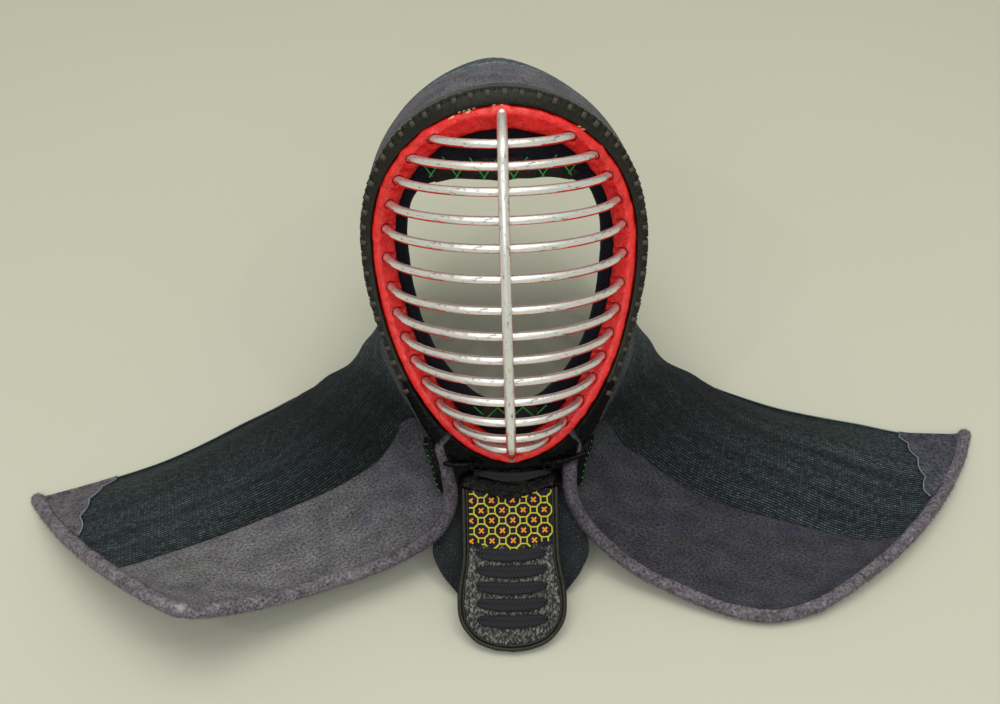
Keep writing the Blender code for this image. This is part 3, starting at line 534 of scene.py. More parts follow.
@dataclass(frozen=True)
class QuiltedCotton(Finish):
    """Indigo cotton quilted in close rows, with a smooth woolly band along its front.

    Woven and sewn: matt, with a row of pale stitches every 2.5 mm, drawn that coarse to show,
    and slow light and dark bands where the dye varies. The grooves between the rows are painted
    darker as shade. Along the hood the colour is the dye with painted shade, darker near the chin
    and on the right flap's band, and painted sheen, lighter over the dome and along the rear edge.
    The mark along is the place along the hood, and reach is how far inside the band's edge a
    point lies, in metres.
    """

    row: float = 0.0025
    stitch: float = 0.0027
    gap: float = 0.0004
    nap: float = 0.0015
    fringe: float = 0.003
    blotch: float = 0.0035
    cloud: float = 0.016
    stain: float = 0.035
    # Places along the hood, from the left flap's end to the right's, and the colour there: the dye, with
    # painted shade near the chin and on the right flap's band, and painted sheen over the dome.
    quilt: tuple[tuple[float, str], ...] = (
        (0.06, "#272d30"), (0.19, "#101416"), (0.30, "#181d1f"), (0.50, "#566063"), (0.70, "#171a1c"),
        (0.79, "#14171a"), (0.92, "#282e31"))
    band: tuple[tuple[float, str], ...] = (
        (0.08, "#636265"), (0.18, "#47464c"), (0.24, "#302f34"), (0.50, "#5f5d65"), (0.76, "#26272b"),
        (0.81, "#303035"), (0.94, "#3b3b41"))
    # A lighter teal painted along the rear edge as sheen.
    folded_edge: str = "#6f8c8f"

    def dye(self, add: Add, along: Any, stops: tuple[tuple[float, str], ...]) -> Any:
        """Return the colour's slow change along the hood: the dye with painted shade and painted sheen."""
        return add("ValToRGB", {"Fac": along}, stops=[(place, linear(colour)) for place, colour in stops])

    def sew(self, add: Add, uv: Any, dye: Any) -> tuple[Any, Any]:
        """Return the quilt's colour and height: rows of pale stitches on dark cloth, painted darker in the
        grooves between the rows as shade.
        """
        stitches = add("TexBrick", {"Vector": uv, "Color1": grey(2.8), "Color2": grey(0.9),
                                    "Mortar": grey(0.7), "Scale": 1.0, "Mortar Size": self.gap,
                                    "Mortar Smooth": 0.5, "Brick Width": self.stitch,
                                    "Row Height": self.row})
        slow_at = add("Mapping", {"Vector": uv, "Scale": (3.0, 75.0, 1.0)})
        slow = add("TexNoise", {"Vector": slow_at, "Scale": 1.0, "Detail": 3.0})
        shade = add("MapRange", (slow, 0.3, 0.7, 0.55, 1.45))
        blotch = add("TexNoise", {"Vector": uv, "Scale": 1 / self.blotch, "Detail": 2.0})
        uneven = add("MapRange", (blotch, 0.3, 0.7, 0.6, 1.4))
        ridges = add("TexWave", {"Vector": uv, "Scale": math.pi / 10 / self.row}, wave_type="BANDS",
                     bands_direction="Y")
        # Painted shade: the cloth is darker in the grooves between the quilted rows, by the same wave that
        # raises them.
        groove_shade = add("MapRange", (ridges.outputs["Fac"], 0.0, 0.8, 0.25, 1.25))
        broad = add("Math", (shade, uneven), operation="MULTIPLY")
        both = add("Math", (broad, groove_shade), operation="MULTIPLY")
        rows = add("Mix", {0: 1.0, 6: dye, 7: stitches}, data_type="RGBA", blend_type="MULTIPLY")
        quilt = add("Mix", {0: 1.0, 6: rows, 7: both}, data_type="RGBA", blend_type="MULTIPLY")
        return quilt, ridges.outputs["Fac"]

    def brush(self, add: Add, uv: Any, dye: Any) -> tuple[Any, Any]:
        """Return the band's colour and height: a woolly nap brushed along it, with faint stains."""
        streak_at = add("Mapping", {"Vector": uv, "Scale": (0.75, 1.0, 1.0)})
        streaks = add("TexNoise", {"Vector": streak_at, "Scale": 1 / self.nap, "Detail": 5.0,
                                   "Roughness": 0.8})
        cloudy = add("TexNoise", {"Vector": streak_at, "Scale": 1 / self.cloud, "Detail": 4.0})
        speckle = add("MapRange", (streaks, 0.34, 0.66, 0.0, 2.25))
        cloud = add("MapRange", (cloudy, 0.3, 0.7, 0.72, 1.28))
        nap = add("Math", (speckle, cloud), operation="MULTIPLY")
        wool = add("Mix", {0: 1.0, 6: dye, 7: nap}, data_type="RGBA", blend_type="MULTIPLY")
        stain = add("TexNoise", {"Vector": uv, "Scale": 1 / self.stain, "Detail": 3.0})
        stained = add("MapRange", (stain, 0.60, 0.72, 0.0, 0.5))
        tinted = add("Mix", {0: stained, 6: wool, 7: linear("#3a3550")}, data_type="RGBA")
        return tinted, streaks

    def paint(self, add: Add, shader: Node) -> None:
        """Add the quilt, the band, the seam between them and the painted sheen along the rear edge."""
        uv = add("TexCoord").outputs["UV"]
        along = add("Attribute", attribute_name="along").outputs["Fac"]
        reach = add("Attribute", attribute_name="reach").outputs["Fac"]
        quilt, sewn = self.sew(add, uv, self.dye(add, along, self.quilt))
        wool, brushed = self.brush(add, uv, self.dye(add, along, self.band))
        fringe = add("TexNoise", {"Vector": uv, "Scale": 1 / self.fringe, "Detail": 3.0})
        ragged = add("Math", (fringe, 0.003, reach), operation="MULTIPLY_ADD")
        band = add("MapRange", (ragged, 0.0009, 0.0021))
        colour = add("Mix", {0: band, 6: quilt, 7: wool}, data_type="RGBA")
        away = add("Math", (reach,), operation="ABSOLUTE")
        seam = add("MapRange", (away, 0.0, 0.0014, 0.55, 1.0))
        colour = add("Mix", {0: 1.0, 6: colour, 7: seam}, data_type="RGBA", blend_type="MULTIPLY")
        # Painted sheen: a lighter teal strip along the rear edge, where the cloth turns away.
        split = add("SeparateXYZ", (uv,))
        edge_sheen = add("MapRange", (split.outputs["Y"], 0.0016, 0.0004))
        colour = add("Mix", {0: edge_sheen, 6: colour, 7: linear(self.folded_edge)}, data_type="RGBA")
        high = add("Mix", {0: band, 2: sewn, 3: brushed})
        bump = add("Bump", {"Height": high, "Strength": 0.8, "Distance": 0.0008})
        feed(shader, {"Base Color": colour, "Roughness": 0.92, "Normal": bump, "Specular IOR Level": 0.15,
                      "Sheen Weight": 0.08, "Sheen Roughness": 0.5, "Sheen Tint": linear("#9fb0b4")})


@dataclass(frozen=True)
class Suede(Finish):
    """Indigo-dyed deerskin suede: a brushed nap, mottled, paler where it has rubbed, with painted shade that
    darkens it on the right and towards the middle.
    """

    # Its colour on the left and the right, the right painted darker as shade, and the painted shade towards
    # the middle.
    left: str = "#716c74"
    right: str = "#6b666e"
    shaded: str = "#4b474f"
    grain: float = 0.0022
    mottle: float = 0.009
    worn: tuple[Spot, ...] = ()

    def paint(self, add: Add, shader: Node) -> None:
        """Add the painted shade, the nap, the mottling and the worn spots."""
        coords = add("TexCoord").outputs["Object"]
        split = add("SeparateXYZ", (coords,))
        # Painted shade: the right side is darker than the left, and both are darker towards the middle, near
        # the chin.
        side = add("MapRange", (split.outputs["X"], -0.1, 0.1))
        base = add("Mix", {0: side, 6: linear(self.left), 7: linear(self.right)}, data_type="RGBA")
        away = add("Math", (split.outputs["X"],), operation="ABSOLUTE")
        inner = add("MapRange", (away, 0.12, 0.04))
        base = add("Mix", {0: inner, 6: base, 7: linear(self.shaded)}, data_type="RGBA")
        nap = add("TexNoise", {"Vector": coords, "Scale": 1 / self.grain, "Detail": 4.0, "Roughness": 0.7})
        mottle = add("TexNoise", {"Vector": coords, "Scale": 1 / self.mottle, "Detail": 3.0})
        fine = add("MapRange", (nap, 0.3, 0.7, 0.15, 1.90))
        broad = add("MapRange", (mottle, 0.3, 0.7, 0.72, 1.28))
        shade = add("Math", (fine, broad), operation="MULTIPLY")
        colour = add("Mix", {0: 1.0, 6: base, 7: shade}, data_type="RGBA", blend_type="MULTIPLY")
        if self.worn:
            mask = spots_mask(add, coords, self.worn, size=0.004, low=0.55, high=0.85)
            colour = add("Mix", {0: mask, 6: colour, 7: linear("#a9a3a6")}, data_type="RGBA")
        bump = add("Bump", {"Height": nap, "Strength": 0.8, "Distance": 0.0006})
        feed(shader, {"Base Color": colour, "Roughness": 0.95, "Normal": bump, "Specular IOR Level": 0.15,
                      "Sheen Weight": 0.12, "Sheen Roughness": 0.45, "Sheen Tint": linear("#b9b2c0")})


@dataclass(frozen=True)
class RedLacquer(Finish):
    """Vermilion lacquer brushed thick on metal: lumpy and semi-gloss, with chips to cream."""

    colour: str = "#fb2a28"
    deep: str = "#dc1c1c"
    brushed: float = 0.006
    pore: float = 0.0016
    chips: tuple[Spot, ...] = ()

    def paint(self, add: Add, shader: Node) -> None:
        """Add the lumps of the brushed coats, the pores and the chips."""
        coords = add("TexCoord").outputs["Object"]
        lumps = add("TexNoise", {"Vector": coords, "Scale": 1 / self.brushed, "Detail": 3.0,
                                 "Roughness": 0.5})
        pores = add("TexNoise", {"Vector": coords, "Scale": 1 / self.pore, "Detail": 2.0, "Roughness": 0.6})
        thick = add("MapRange", (lumps, 0.32, 0.6))
        colour = add("Mix", {0: thick, 6: linear(self.deep), 7: linear(self.colour)}, data_type="RGBA")
        chips = spots_mask(add, coords, self.chips, size=0.0035, low=0.62, high=0.66)
        colour = add("Mix", {0: chips, 6: colour, 7: linear("#e2d2a6")}, data_type="RGBA")
        rough = add("MapRange", (pores, 0.35, 0.7, 0.08, 0.24))
        height = add("Mix", {0: 0.35, 2: lumps, 3: pores})
        bump = add("Bump", {"Height": height, "Strength": 1.0, "Distance": 0.0020})
        feed(shader, {"Base Color": colour, "Roughness": rough, "Normal": bump, "IOR": 1.54,
                      "Coat Weight": 0.2, "Coat Roughness": 0.05})


@dataclass(frozen=True)
class BlackLacquer(Finish):
    """Black lacquer on rawhide: satin on the rim's worn face, wet and lumpy where it ran."""

    gloss: Gloss = Gloss.SATIN
    colour: str = "#16170f"
    scuff: str = "#3d3c31"
    lump_size: float = 0.005
    scratch: float = 0.0022

    def paint(self, add: Add, shader: Node) -> None:
        """Add the brushed surface and its scuffs."""
        rough, depth = self.gloss.value
        coords = add("TexCoord").outputs["Object"]
        lumps = add("TexNoise", {"Vector": coords, "Scale": 1 / self.lump_size, "Detail": 3.0,
                                 "Roughness": 0.55})
        scuffs = add("TexNoise", {"Vector": coords, "Scale": 1 / self.scratch, "Detail": 5.0,
                                  "Roughness": 0.7})
        pale = add("MapRange", (scuffs, 0.50, 0.85))
        colour = add("Mix", {0: pale, 6: linear(self.colour), 7: linear(self.scuff)}, data_type="RGBA")
        dull = add("MapRange", (scuffs, 0.35, 0.75, rough, rough + 0.16))
        bump = add("Bump", {"Height": lumps, "Strength": 1.0, "Distance": 4 * depth})
        feed(shader, {"Base Color": colour, "Roughness": dull, "Normal": bump, "IOR": 1.54,
                      "Specular IOR Level": 0.08 if self.gloss is Gloss.WET else 0.30})


@dataclass(frozen=True)
class Duralumin(Finish):
    """Polished duralumin rod: bright metal with fine scratches along it and grey streaks."""

    colour: str = "#f7f7f5"
    streak: float = 0.0009
    mark: float = 0.0024

    def paint(self, add: Add, shader: Node) -> None:
        """Add the long scratches and the dull streaks."""
        uv = add("TexCoord").outputs["UV"]
        long_way = add("Mapping", {"Vector": uv, "Scale": (0.06, 1.0, 1.0)})
        fine = add("TexNoise", {"Vector": long_way, "Scale": 1 / self.streak, "Detail": 3.0})
        short_way = add("Mapping", {"Vector": uv, "Scale": (0.28, 1.0, 1.0)})
        marks = add("TexNoise", {"Vector": short_way, "Scale": 1 / self.mark, "Detail": 5.0,
                                 "Roughness": 0.7})
        dull = add("MapRange", (marks, 0.55, 0.68))
        colour = add("Mix", {0: dull, 6: linear(self.colour), 7: linear("#5b5d61")}, data_type="RGBA")
        rough = add("MapRange", (marks, 0.35, 0.75, 0.30, 0.52))
        bump = add("Bump", {"Height": fine, "Strength": 0.35, "Distance": 0.0001})
        feed(shader, {"Base Color": colour, "Metallic": 0.85, "Roughness": rough, "Normal": bump,
                      "Coat Weight": 0.5, "Coat Roughness": 0.12})


@dataclass(frozen=True)
class NavyCotton(Finish):
    """Thick indigo cotton, closely woven: matt and nearly black, with lint and a fine weave."""

    colour: str = "#131620"
    thread: float = 0.0011
    lint: str = "#4a4f5c"
    speck: float = 0.0011
    fade: float = 0.02

    def paint(self, add: Add, shader: Node) -> None:
        """Add the weave, coarse enough to show, and the lint."""
        nodes = add("TexCoord")
        uv, coords = nodes.outputs["UV"], nodes.outputs["Object"]
        weave = add("TexChecker", {"Vector": uv, "Scale": 1 / self.thread, "Color1": grey(1.0),
                                   "Color2": grey(0.6)}).outputs["Fac"]
        specks = add("TexNoise", {"Vector": coords, "Scale": 1 / self.speck, "Detail": 3.0,
                                  "Roughness": 0.6})
        lint = add("MapRange", (specks, 0.60, 0.80))
        faded = add("TexNoise", {"Vector": coords, "Scale": 1 / self.fade, "Detail": 3.0})
        shade = add("MapRange", (faded, 0.3, 0.7, 0.75, 1.3))
        base = add("Mix", {0: 1.0, 6: linear(self.colour), 7: shade}, data_type="RGBA",
                   blend_type="MULTIPLY")
        colour = add("Mix", {0: lint, 6: base, 7: linear(self.lint)}, data_type="RGBA")
        height = add("Mix", {0: 0.5, 2: weave, 3: specks})
        bump = add("Bump", {"Height": height, "Strength": 0.7, "Distance": 0.0004})
        feed(shader, {"Base Color": colour, "Roughness": 0.93, "Normal": bump, "Specular IOR Level": 0.2,
                      "Sheen Weight": 0.12, "Sheen Roughness": 0.5, "Sheen Tint": linear("#8791b0")})


@dataclass(frozen=True)
class PebbledLeather(Finish):
    """Black leather with a shrunken grain: pebbles of 1.2 to 1.6 mm, painted greyer on their tops as
    highlight.
    """

    colour: str = "#222326"
    # The pebbles' top colour is a painted highlight.
    top: str = "#66665f"
    pebble: float = 0.0016
    pucker: float = 0.62
    wave: float = 0.004

    def paint(self, add: Add, shader: Node) -> None:
        """Add the pebbles, drawn a little longer down the piece, and the painted highlight on their tops."""
        uv = add("TexCoord").outputs["UV"]
        longer = add("Mapping", {"Vector": uv, "Scale": (1.0, self.pucker, 1.0)})
        wave = add("TexNoise", {"Vector": uv, "Scale": 1 / self.wave, "Detail": 2.0})
        bent = add("Mix", {1: (0.0016, 0.0016, 0.0), 4: longer, 5: wave.outputs["Color"]},
                   data_type="VECTOR", factor_mode="NON_UNIFORM")
        cells = add("TexVoronoi", {"Vector": bent, "Scale": 1 / self.pebble}, feature="SMOOTH_F1")
        # Painted highlight: the pebbles' tops are lighter, as where light catches them, faded in and out by
        # noise.
        tops = add("MapRange", (cells, 0.56, 0.22))
        fade = add("MapRange", (wave, 0.35, 0.65, 0.25, 1.0))
        painted_highlight = add("Math", (tops, fade), operation="MULTIPLY")
        colour = add("Mix", {0: painted_highlight, 6: linear(self.colour), 7: linear(self.top)}, data_type="RGBA")
        bump = add("Bump", {"Height": tops, "Strength": 0.8, "Distance": 0.0005})
        feed(shader, {"Base Color": colour, "Roughness": 0.42, "Normal": bump, "Specular IOR Level": 0.25})


@dataclass(frozen=True)
class Yarn(Finish):
    """Dyed cotton or silk yarn: soft sheen, with a fine twist and uneven dye."""

    colour: str = "#1b1e30"
    sheen: float = 0.2
    twist: float = 0.0009

    def paint(self, add: Add, shader: Node) -> None:
        """Add the twist and the uneven dye."""
        coords = add("TexCoord").outputs["Object"]
        uneven = add("TexNoise", {"Vector": coords, "Scale": 1 / self.twist, "Detail": 3.0})
        shade = add("MapRange", (uneven, 0.3, 0.7, 0.6, 1.3))
        colour = add("Mix", {0: 1.0, 6: linear(self.colour), 7: shade}, data_type="RGBA",
                     blend_type="MULTIPLY")
        bump = add("Bump", {"Height": uneven, "Strength": 0.6, "Distance": 0.0003})
        feed(shader, {"Base Color": colour, "Roughness": 0.7, "Normal": bump, "Sheen Weight": self.sheen,
                      "Sheen Roughness": 0.4})


@dataclass(frozen=True)
class GroundCloth(Finish):
    """Pale seamless backdrop cloth: matt, with the faintest unevenness, and painted light that makes it
    paler near the camera and darker far off.
    """

    # Painted light: the cloth's colour near the camera, paler, and far off, darker.
    near: str = "#d2d2c4"
    far: str = "#c9c9b9"

    def paint(self, add: Add, shader: Node) -> None:
        """Add the painted light: paler near the camera, darker far off, uneven with noise."""
        coords = add("TexCoord").outputs["Object"]
        split = add("SeparateXYZ", (coords,))
        cloud = add("TexNoise", {"Vector": coords, "Scale": 3.0, "Detail": 3.0})
        wave = add("Math", (cloud, 0.5, split.outputs["Y"]), operation="MULTIPLY_ADD")
        reach = add("MapRange", (wave, -0.2, 1.0))
        colour = add("Mix", {0: reach, 6: linear(self.near), 7: linear(self.far)}, data_type="RGBA")
        feed(shader, {"Base Color": colour, "Roughness": 0.9, "Specular IOR Level": 0.2})


# What repeats along a line or over a surface.

def guide(name: str, lines: Sequence[Any], ups: Sequence[Any]) -> Piece:
    """Return guide lines whose mark "up" is the direction out of the surface under them.

    Args:
        name: The object's name.
        lines: For each line, its points.
        ups: For each line, one direction, or one for each point.

    Returns:
        The guides as loose edges.
    """
    points: list[Array] = []
    edges: list[tuple[int, int]] = []
    directions: list[Array] = []
    for line, up in zip(lines, ups):
        line = np.asarray(line, dtype=float)
        start = sum(len(p) for p in points)
        points.append(line)
        directions.append(np.broadcast_to(np.asarray(up, dtype=float), line.shape))
        edges += [(start + k, start + k + 1) for k in range(len(line) - 1)]
    mesh = bpy.data.meshes.new(name)
    mesh.from_pydata(np.concatenate(points).tolist(), edges, [])
    mark = mesh.attributes.new("up", "FLOAT_VECTOR", "POINT")
    mark.data.foreach_set("vector", np.concatenate(directions).reshape(-1))
    piece = bpy.data.objects.new(name, mesh)
    bpy.context.scene.collection.objects.link(piece)
    return piece


@dataclass(frozen=True)
class Pattern:
    """A Geometry Nodes tree with named inputs, run once on a piece."""

    def inputs(self) -> dict[str, float | int]:
        """Return the tree's inputs by name: every size and seed that the pattern has."""
        values = {size.name.capitalize(): getattr(self, size.name) for size in fields(self)}
        return {name: value for name, value in values.items() if not isinstance(value, bool)}

    def fill(self, add: Add, given: Node, finish: Material) -> Any:
        """Add the tree's nodes after its Group Input and return the last one."""
        raise NotImplementedError

    def run(self, piece: Piece, finish: Material) -> Piece:
        """Build the tree, run it on a piece and return the piece as a plain mesh.

        Args:
            piece: The guide lines or the surface that the pattern follows.
            finish: The material of what repeats.

        Returns:
            The same object with its new mesh.
        """
        tree = bpy.data.node_groups.new(piece.name, "GeometryNodeTree")
        tree.interface.new_socket(name="Geometry", in_out="INPUT", socket_type="NodeSocketGeometry")
        tree.interface.new_socket(name="Geometry", in_out="OUTPUT", socket_type="NodeSocketGeometry")
        sockets = {}
        for name, value in self.inputs().items():
            kind = "NodeSocketInt" if isinstance(value, int) else "NodeSocketFloat"
            sockets[name] = tree.interface.new_socket(name=name, in_out="INPUT", socket_type=kind)
        add = partial(add_node, tree)
        given = add("NodeGroupInput")
        whole = self.fill(add, given, finish)
        real = add("GeometryNodeRealizeInstances", (whole,))
        smooth = add("GeometryNodeSetShadeSmooth", (real,))
        add("NodeGroupOutput", (smooth,))
        modifier = piece.modifiers.new("Pattern", "NODES")
        modifier.node_group = tree
        for name, value in self.inputs().items():
            modifier[sockets[name].identifier] = value
        settle(piece)
        bpy.data.node_groups.remove(tree)
        if not piece.data.materials:
            piece.data.materials.append(finish)
        return piece


@dataclass(frozen=True)
class StitchRow(Pattern):
    """Stitches at a pitch along guide lines, turned from the line by an angle."""

    pitch: float = 0.003
    length: float = 0.002
    width: float = 0.0006
    height: float = 0.0005
    turn: float = 0.0
    seed: int = 3
    square: bool = False

    def fill(self, add: Add, given: Node, finish: Material) -> Any:
        """Lay a round or square-cut stitch at each place, on the surface under the line."""
        curve = add("GeometryNodeMeshToCurve", {"Mesh": given.outputs["Geometry"]})
        places = add("GeometryNodeResampleCurve", {"Curve": curve, "Length": given.outputs["Pitch"]},
                     mode="LENGTH")
        up = add("GeometryNodeInputNamedAttribute", {"Name": "up"}, data_type="FLOAT_VECTOR")
        tangent = add("GeometryNodeInputTangent")
        stand = add("FunctionNodeAlignRotationToVector", {"Vector": up}, axis="Z")
        face = add("FunctionNodeAlignRotationToVector", {"Rotation": stand, "Vector": tangent}, axis="X",
                   pivot_axis="Z")
        turn = add("FunctionNodeAxisAngleToRotation", {"Axis": (0.0, 0.0, 1.0),
                                                       "Angle": given.outputs["Turn"]})
        turned = add("FunctionNodeRotateRotation", {"Rotation": face, "Rotate By": turn},
                     rotation_space="LOCAL")
        size = add("CombineXYZ", (given.outputs["Length"], given.outputs["Width"], given.outputs["Height"]))
        vary = add("FunctionNodeRandomValue", {2: 0.42, 3: 0.56, "Seed": given.outputs["Seed"]},
                   data_type="FLOAT")
        scale = add("VectorMath", {0: size, "Scale": vary}, operation="SCALE")
        kind, sizes = (("Cube", {"Size": (2.0, 2.0, 2.0)}) if self.square else
                       ("UVSphere", {"Segments": 8, "Rings": 5, "Radius": 1.0}))
        stitch = add("GeometryNodeMesh" + kind, sizes)
        laid = add("GeometryNodeInstanceOnPoints", {"Points": places, "Instance": stitch, "Rotation": turned,
                                                    "Scale": scale})
        return add("GeometryNodeSetMaterial", {"Geometry": laid, "Material": finish})


@dataclass(frozen=True)
class Thread(Pattern):
    """A round thread along each guide line."""

    radius: float = 0.0005
    sides: int = 6

    def fill(self, add: Add, given: Node, finish: Material) -> Any:
        """Sweep a circle along the lines."""
        curve = add("GeometryNodeMeshToCurve", {"Mesh": given.outputs["Geometry"]})
        circle = add("GeometryNodeCurvePrimitiveCircle", {"Resolution": given.outputs["Sides"],
                                                          "Radius": given.outputs["Radius"]})
        swept = add("GeometryNodeCurveToMesh", {"Curve": curve, "Profile Curve": circle, "Fill Caps": True})
        return add("GeometryNodeSetMaterial", {"Geometry": swept, "Material": finish})


@dataclass(frozen=True)
class Nap(Pattern):
    """Loose fibres that stand on a fuzzy surface, over the surface itself."""

    density: float = 50000.0
    length: float = 0.0013
    width: float = 0.00009
    seed: int = 5

    def fill(self, add: Add, given: Node, finish: Material) -> Any:
        """Stand a three-sided fibre on each place, leaning any way."""
        surface = given.outputs["Geometry"]
        places = add("GeometryNodeDistributePointsOnFaces", {"Mesh": surface,
            "Density": given.outputs["Density"], "Seed": given.outputs["Seed"]})
        fibre = add("GeometryNodeMeshCone", {"Vertices": 3, "Radius Top": 0.0,
                                             "Radius Bottom": given.outputs["Width"],
                                             "Depth": given.outputs["Length"]}, fill_type="NONE")
        lean = add("FunctionNodeRandomValue", {0: (-0.9, -0.9, -0.9), 1: (0.9, 0.9, 0.9),
                                               "Seed": given.outputs["Seed"]}, data_type="FLOAT_VECTOR")
        way = add("VectorMath", (places.outputs["Normal"], lean), operation="ADD")
        stand = add("FunctionNodeAlignRotationToVector", {"Vector": way}, axis="Z")
        vary = add("FunctionNodeRandomValue", {2: 0.4, 3: 1.3, "Seed": given.outputs["Seed"]},
                   data_type="FLOAT")
        stood = add("GeometryNodeInstanceOnPoints", {"Points": places.outputs["Points"], "Instance": fibre,
                                                     "Rotation": stand, "Scale": vary})
        real = add("GeometryNodeRealizeInstances", (stood,))
        fuzz = add("GeometryNodeSetMaterial", {"Geometry": real, "Material": finish})
        both = add("GeometryNodeJoinGeometry", (fuzz,))
        feed(both, {0: surface})
        return both


# The two frames.

@dataclass(frozen=True)
class FaceFrame:
    """The mask's upright face frame and how it leans back at rest."""

    lean: float = math.radians(30.0)
    centre_height: float = 0.210
    width: float = 0.196
    top: float = 0.1044
    bottom: float = 0.1614
    widest_line: float = 0.015
    jaw_power: float = 1.08
    front: float = 0.005
    wrap: float = 0.037
    wrap_power: float = 2.2
    ring_depth: float = 0.014
    shift: tuple[float, float, float] = (0.0, 0.0, 0.0)
    sway: float = 0.0030

    def outline(self, degrees: float) -> Array:
        """Return the ring's outer edge (x, z) at an angle from the top."""
        side, rise = math.sin(math.radians(degrees)), math.cos(math.radians(degrees))
        if rise >= 0:
            return vec(self.width / 2 * side, self.widest_line + self.top * rise)
        reach = math.copysign(abs(side) ** self.jaw_power, side)
        return vec(self.width / 2 * reach, self.widest_line + self.bottom * rise)

    def outward(self, degrees: float) -> Array:
        """Return the direction (x, z) that points out of the ring's outline."""
        run = self.outline(degrees + 0.1) - self.outline(degrees - 0.1)
        return unit(vec(-run[1], run[0]))

    def point(self, degrees: float, grow: float = 0.0, back: float = 0.0) -> Array:
        """Return a point grow outside the ring's edge and back behind its front."""
        base = self.outline(degrees)
        x, z = base + grow * self.outward(degrees)
        wrap = self.wrap * abs(base[0] / (self.width / 2)) ** self.wrap_power
        return vec(x, self.front + wrap + back, z)

    def rest(self, points: Any) -> Array:
        """Return the resting places of points of the face frame."""
        x, y, z = np.moveaxis(np.asarray(points, dtype=float), -1, 0)
        cos, sin = math.cos(self.lean), math.sin(self.lean)
        down = np.clip((self.top - z) / (self.top + self.bottom), 0.0, 1.0)
        x = x + self.sway * down ** 2
        return np.stack([x, y * cos + z * sin, self.centre_height - y * sin + z * cos], -1) + self.shift

    def turn(self, directions: Any) -> Array:
        """Return directions of the face frame as they point at rest."""
        return self.rest(directions) - self.rest(vec(0.0, 0.0, 0.0))

    def leaned_outward(self, degrees: float) -> Array:
        """Return the direction out of the ring's outline, on the resting mask."""
        x, z = self.outward(degrees)
        return self.turn(vec(x, 0.0, z))

    def rings(self, angles: Sequence[float], section: Array, width: Any, depth: Any, start: float,
              back: float, inward: bool) -> Array:
        """Return the rings of a section swept round the face.

        Args:
            angles: The angles from the top, in degrees.
            section: Shares of the width and the depth, in order round the section.
            width: A function of the angle, or one width.
            depth: A function of the angle, or one depth.
            start: How far off the ring's edge the section starts.
            back: How far behind the ring's front it starts.
            inward: Whether its width runs inwards.

        Returns:
            The rings, at rest.
        """
        sign = -1.0 if inward else 1.0
        rings = []
        for a in angles:
            wide = width(a) if callable(width) else width
            deep = depth(a) if callable(depth) else depth
            rings.append([self.point(a, start + sign * u * wide, back + v * deep) for u, v in section])
        return self.rest(rings)


@dataclass(frozen=True)
class GuardFrame:
    """The throat guard's own flat frame: +Y up along it from its top, +Z out of it."""

    face: FaceFrame
    top_drop: float = 0.1726
    top_back: float = 0.0134
    length: float = 0.1205
    # The share of the face's sway that the guard doesn't follow.
    steady: float = 0.8

    @property
    def top(self) -> Array:
        """Return where the guard's top is at rest, with most of the face's sway left out."""
        return self.face.rest(vec(-self.steady * self.face.sway, self.top_back, -self.top_drop))

    @property
    def tilt(self) -> float:
        """Return how steeply the guard runs down to the surface."""
        return math.asin(self.top[2] / self.length)

    def rest(self, points: Any) -> Array:
        """Return the resting places of points of the guard's frame."""
        x, y, z = np.moveaxis(np.asarray(points, dtype=float), -1, 0)
        cos, sin = math.cos(self.tilt), math.sin(self.tilt)
        return np.stack([x, y * cos - z * sin, y * sin + z * cos], -1) + self.top

    def turn(self, directions: Any) -> Array:
        """Return directions of the guard's frame as they point at rest."""
        return self.rest(directions) - self.top


# The grill, its ring and the rim.

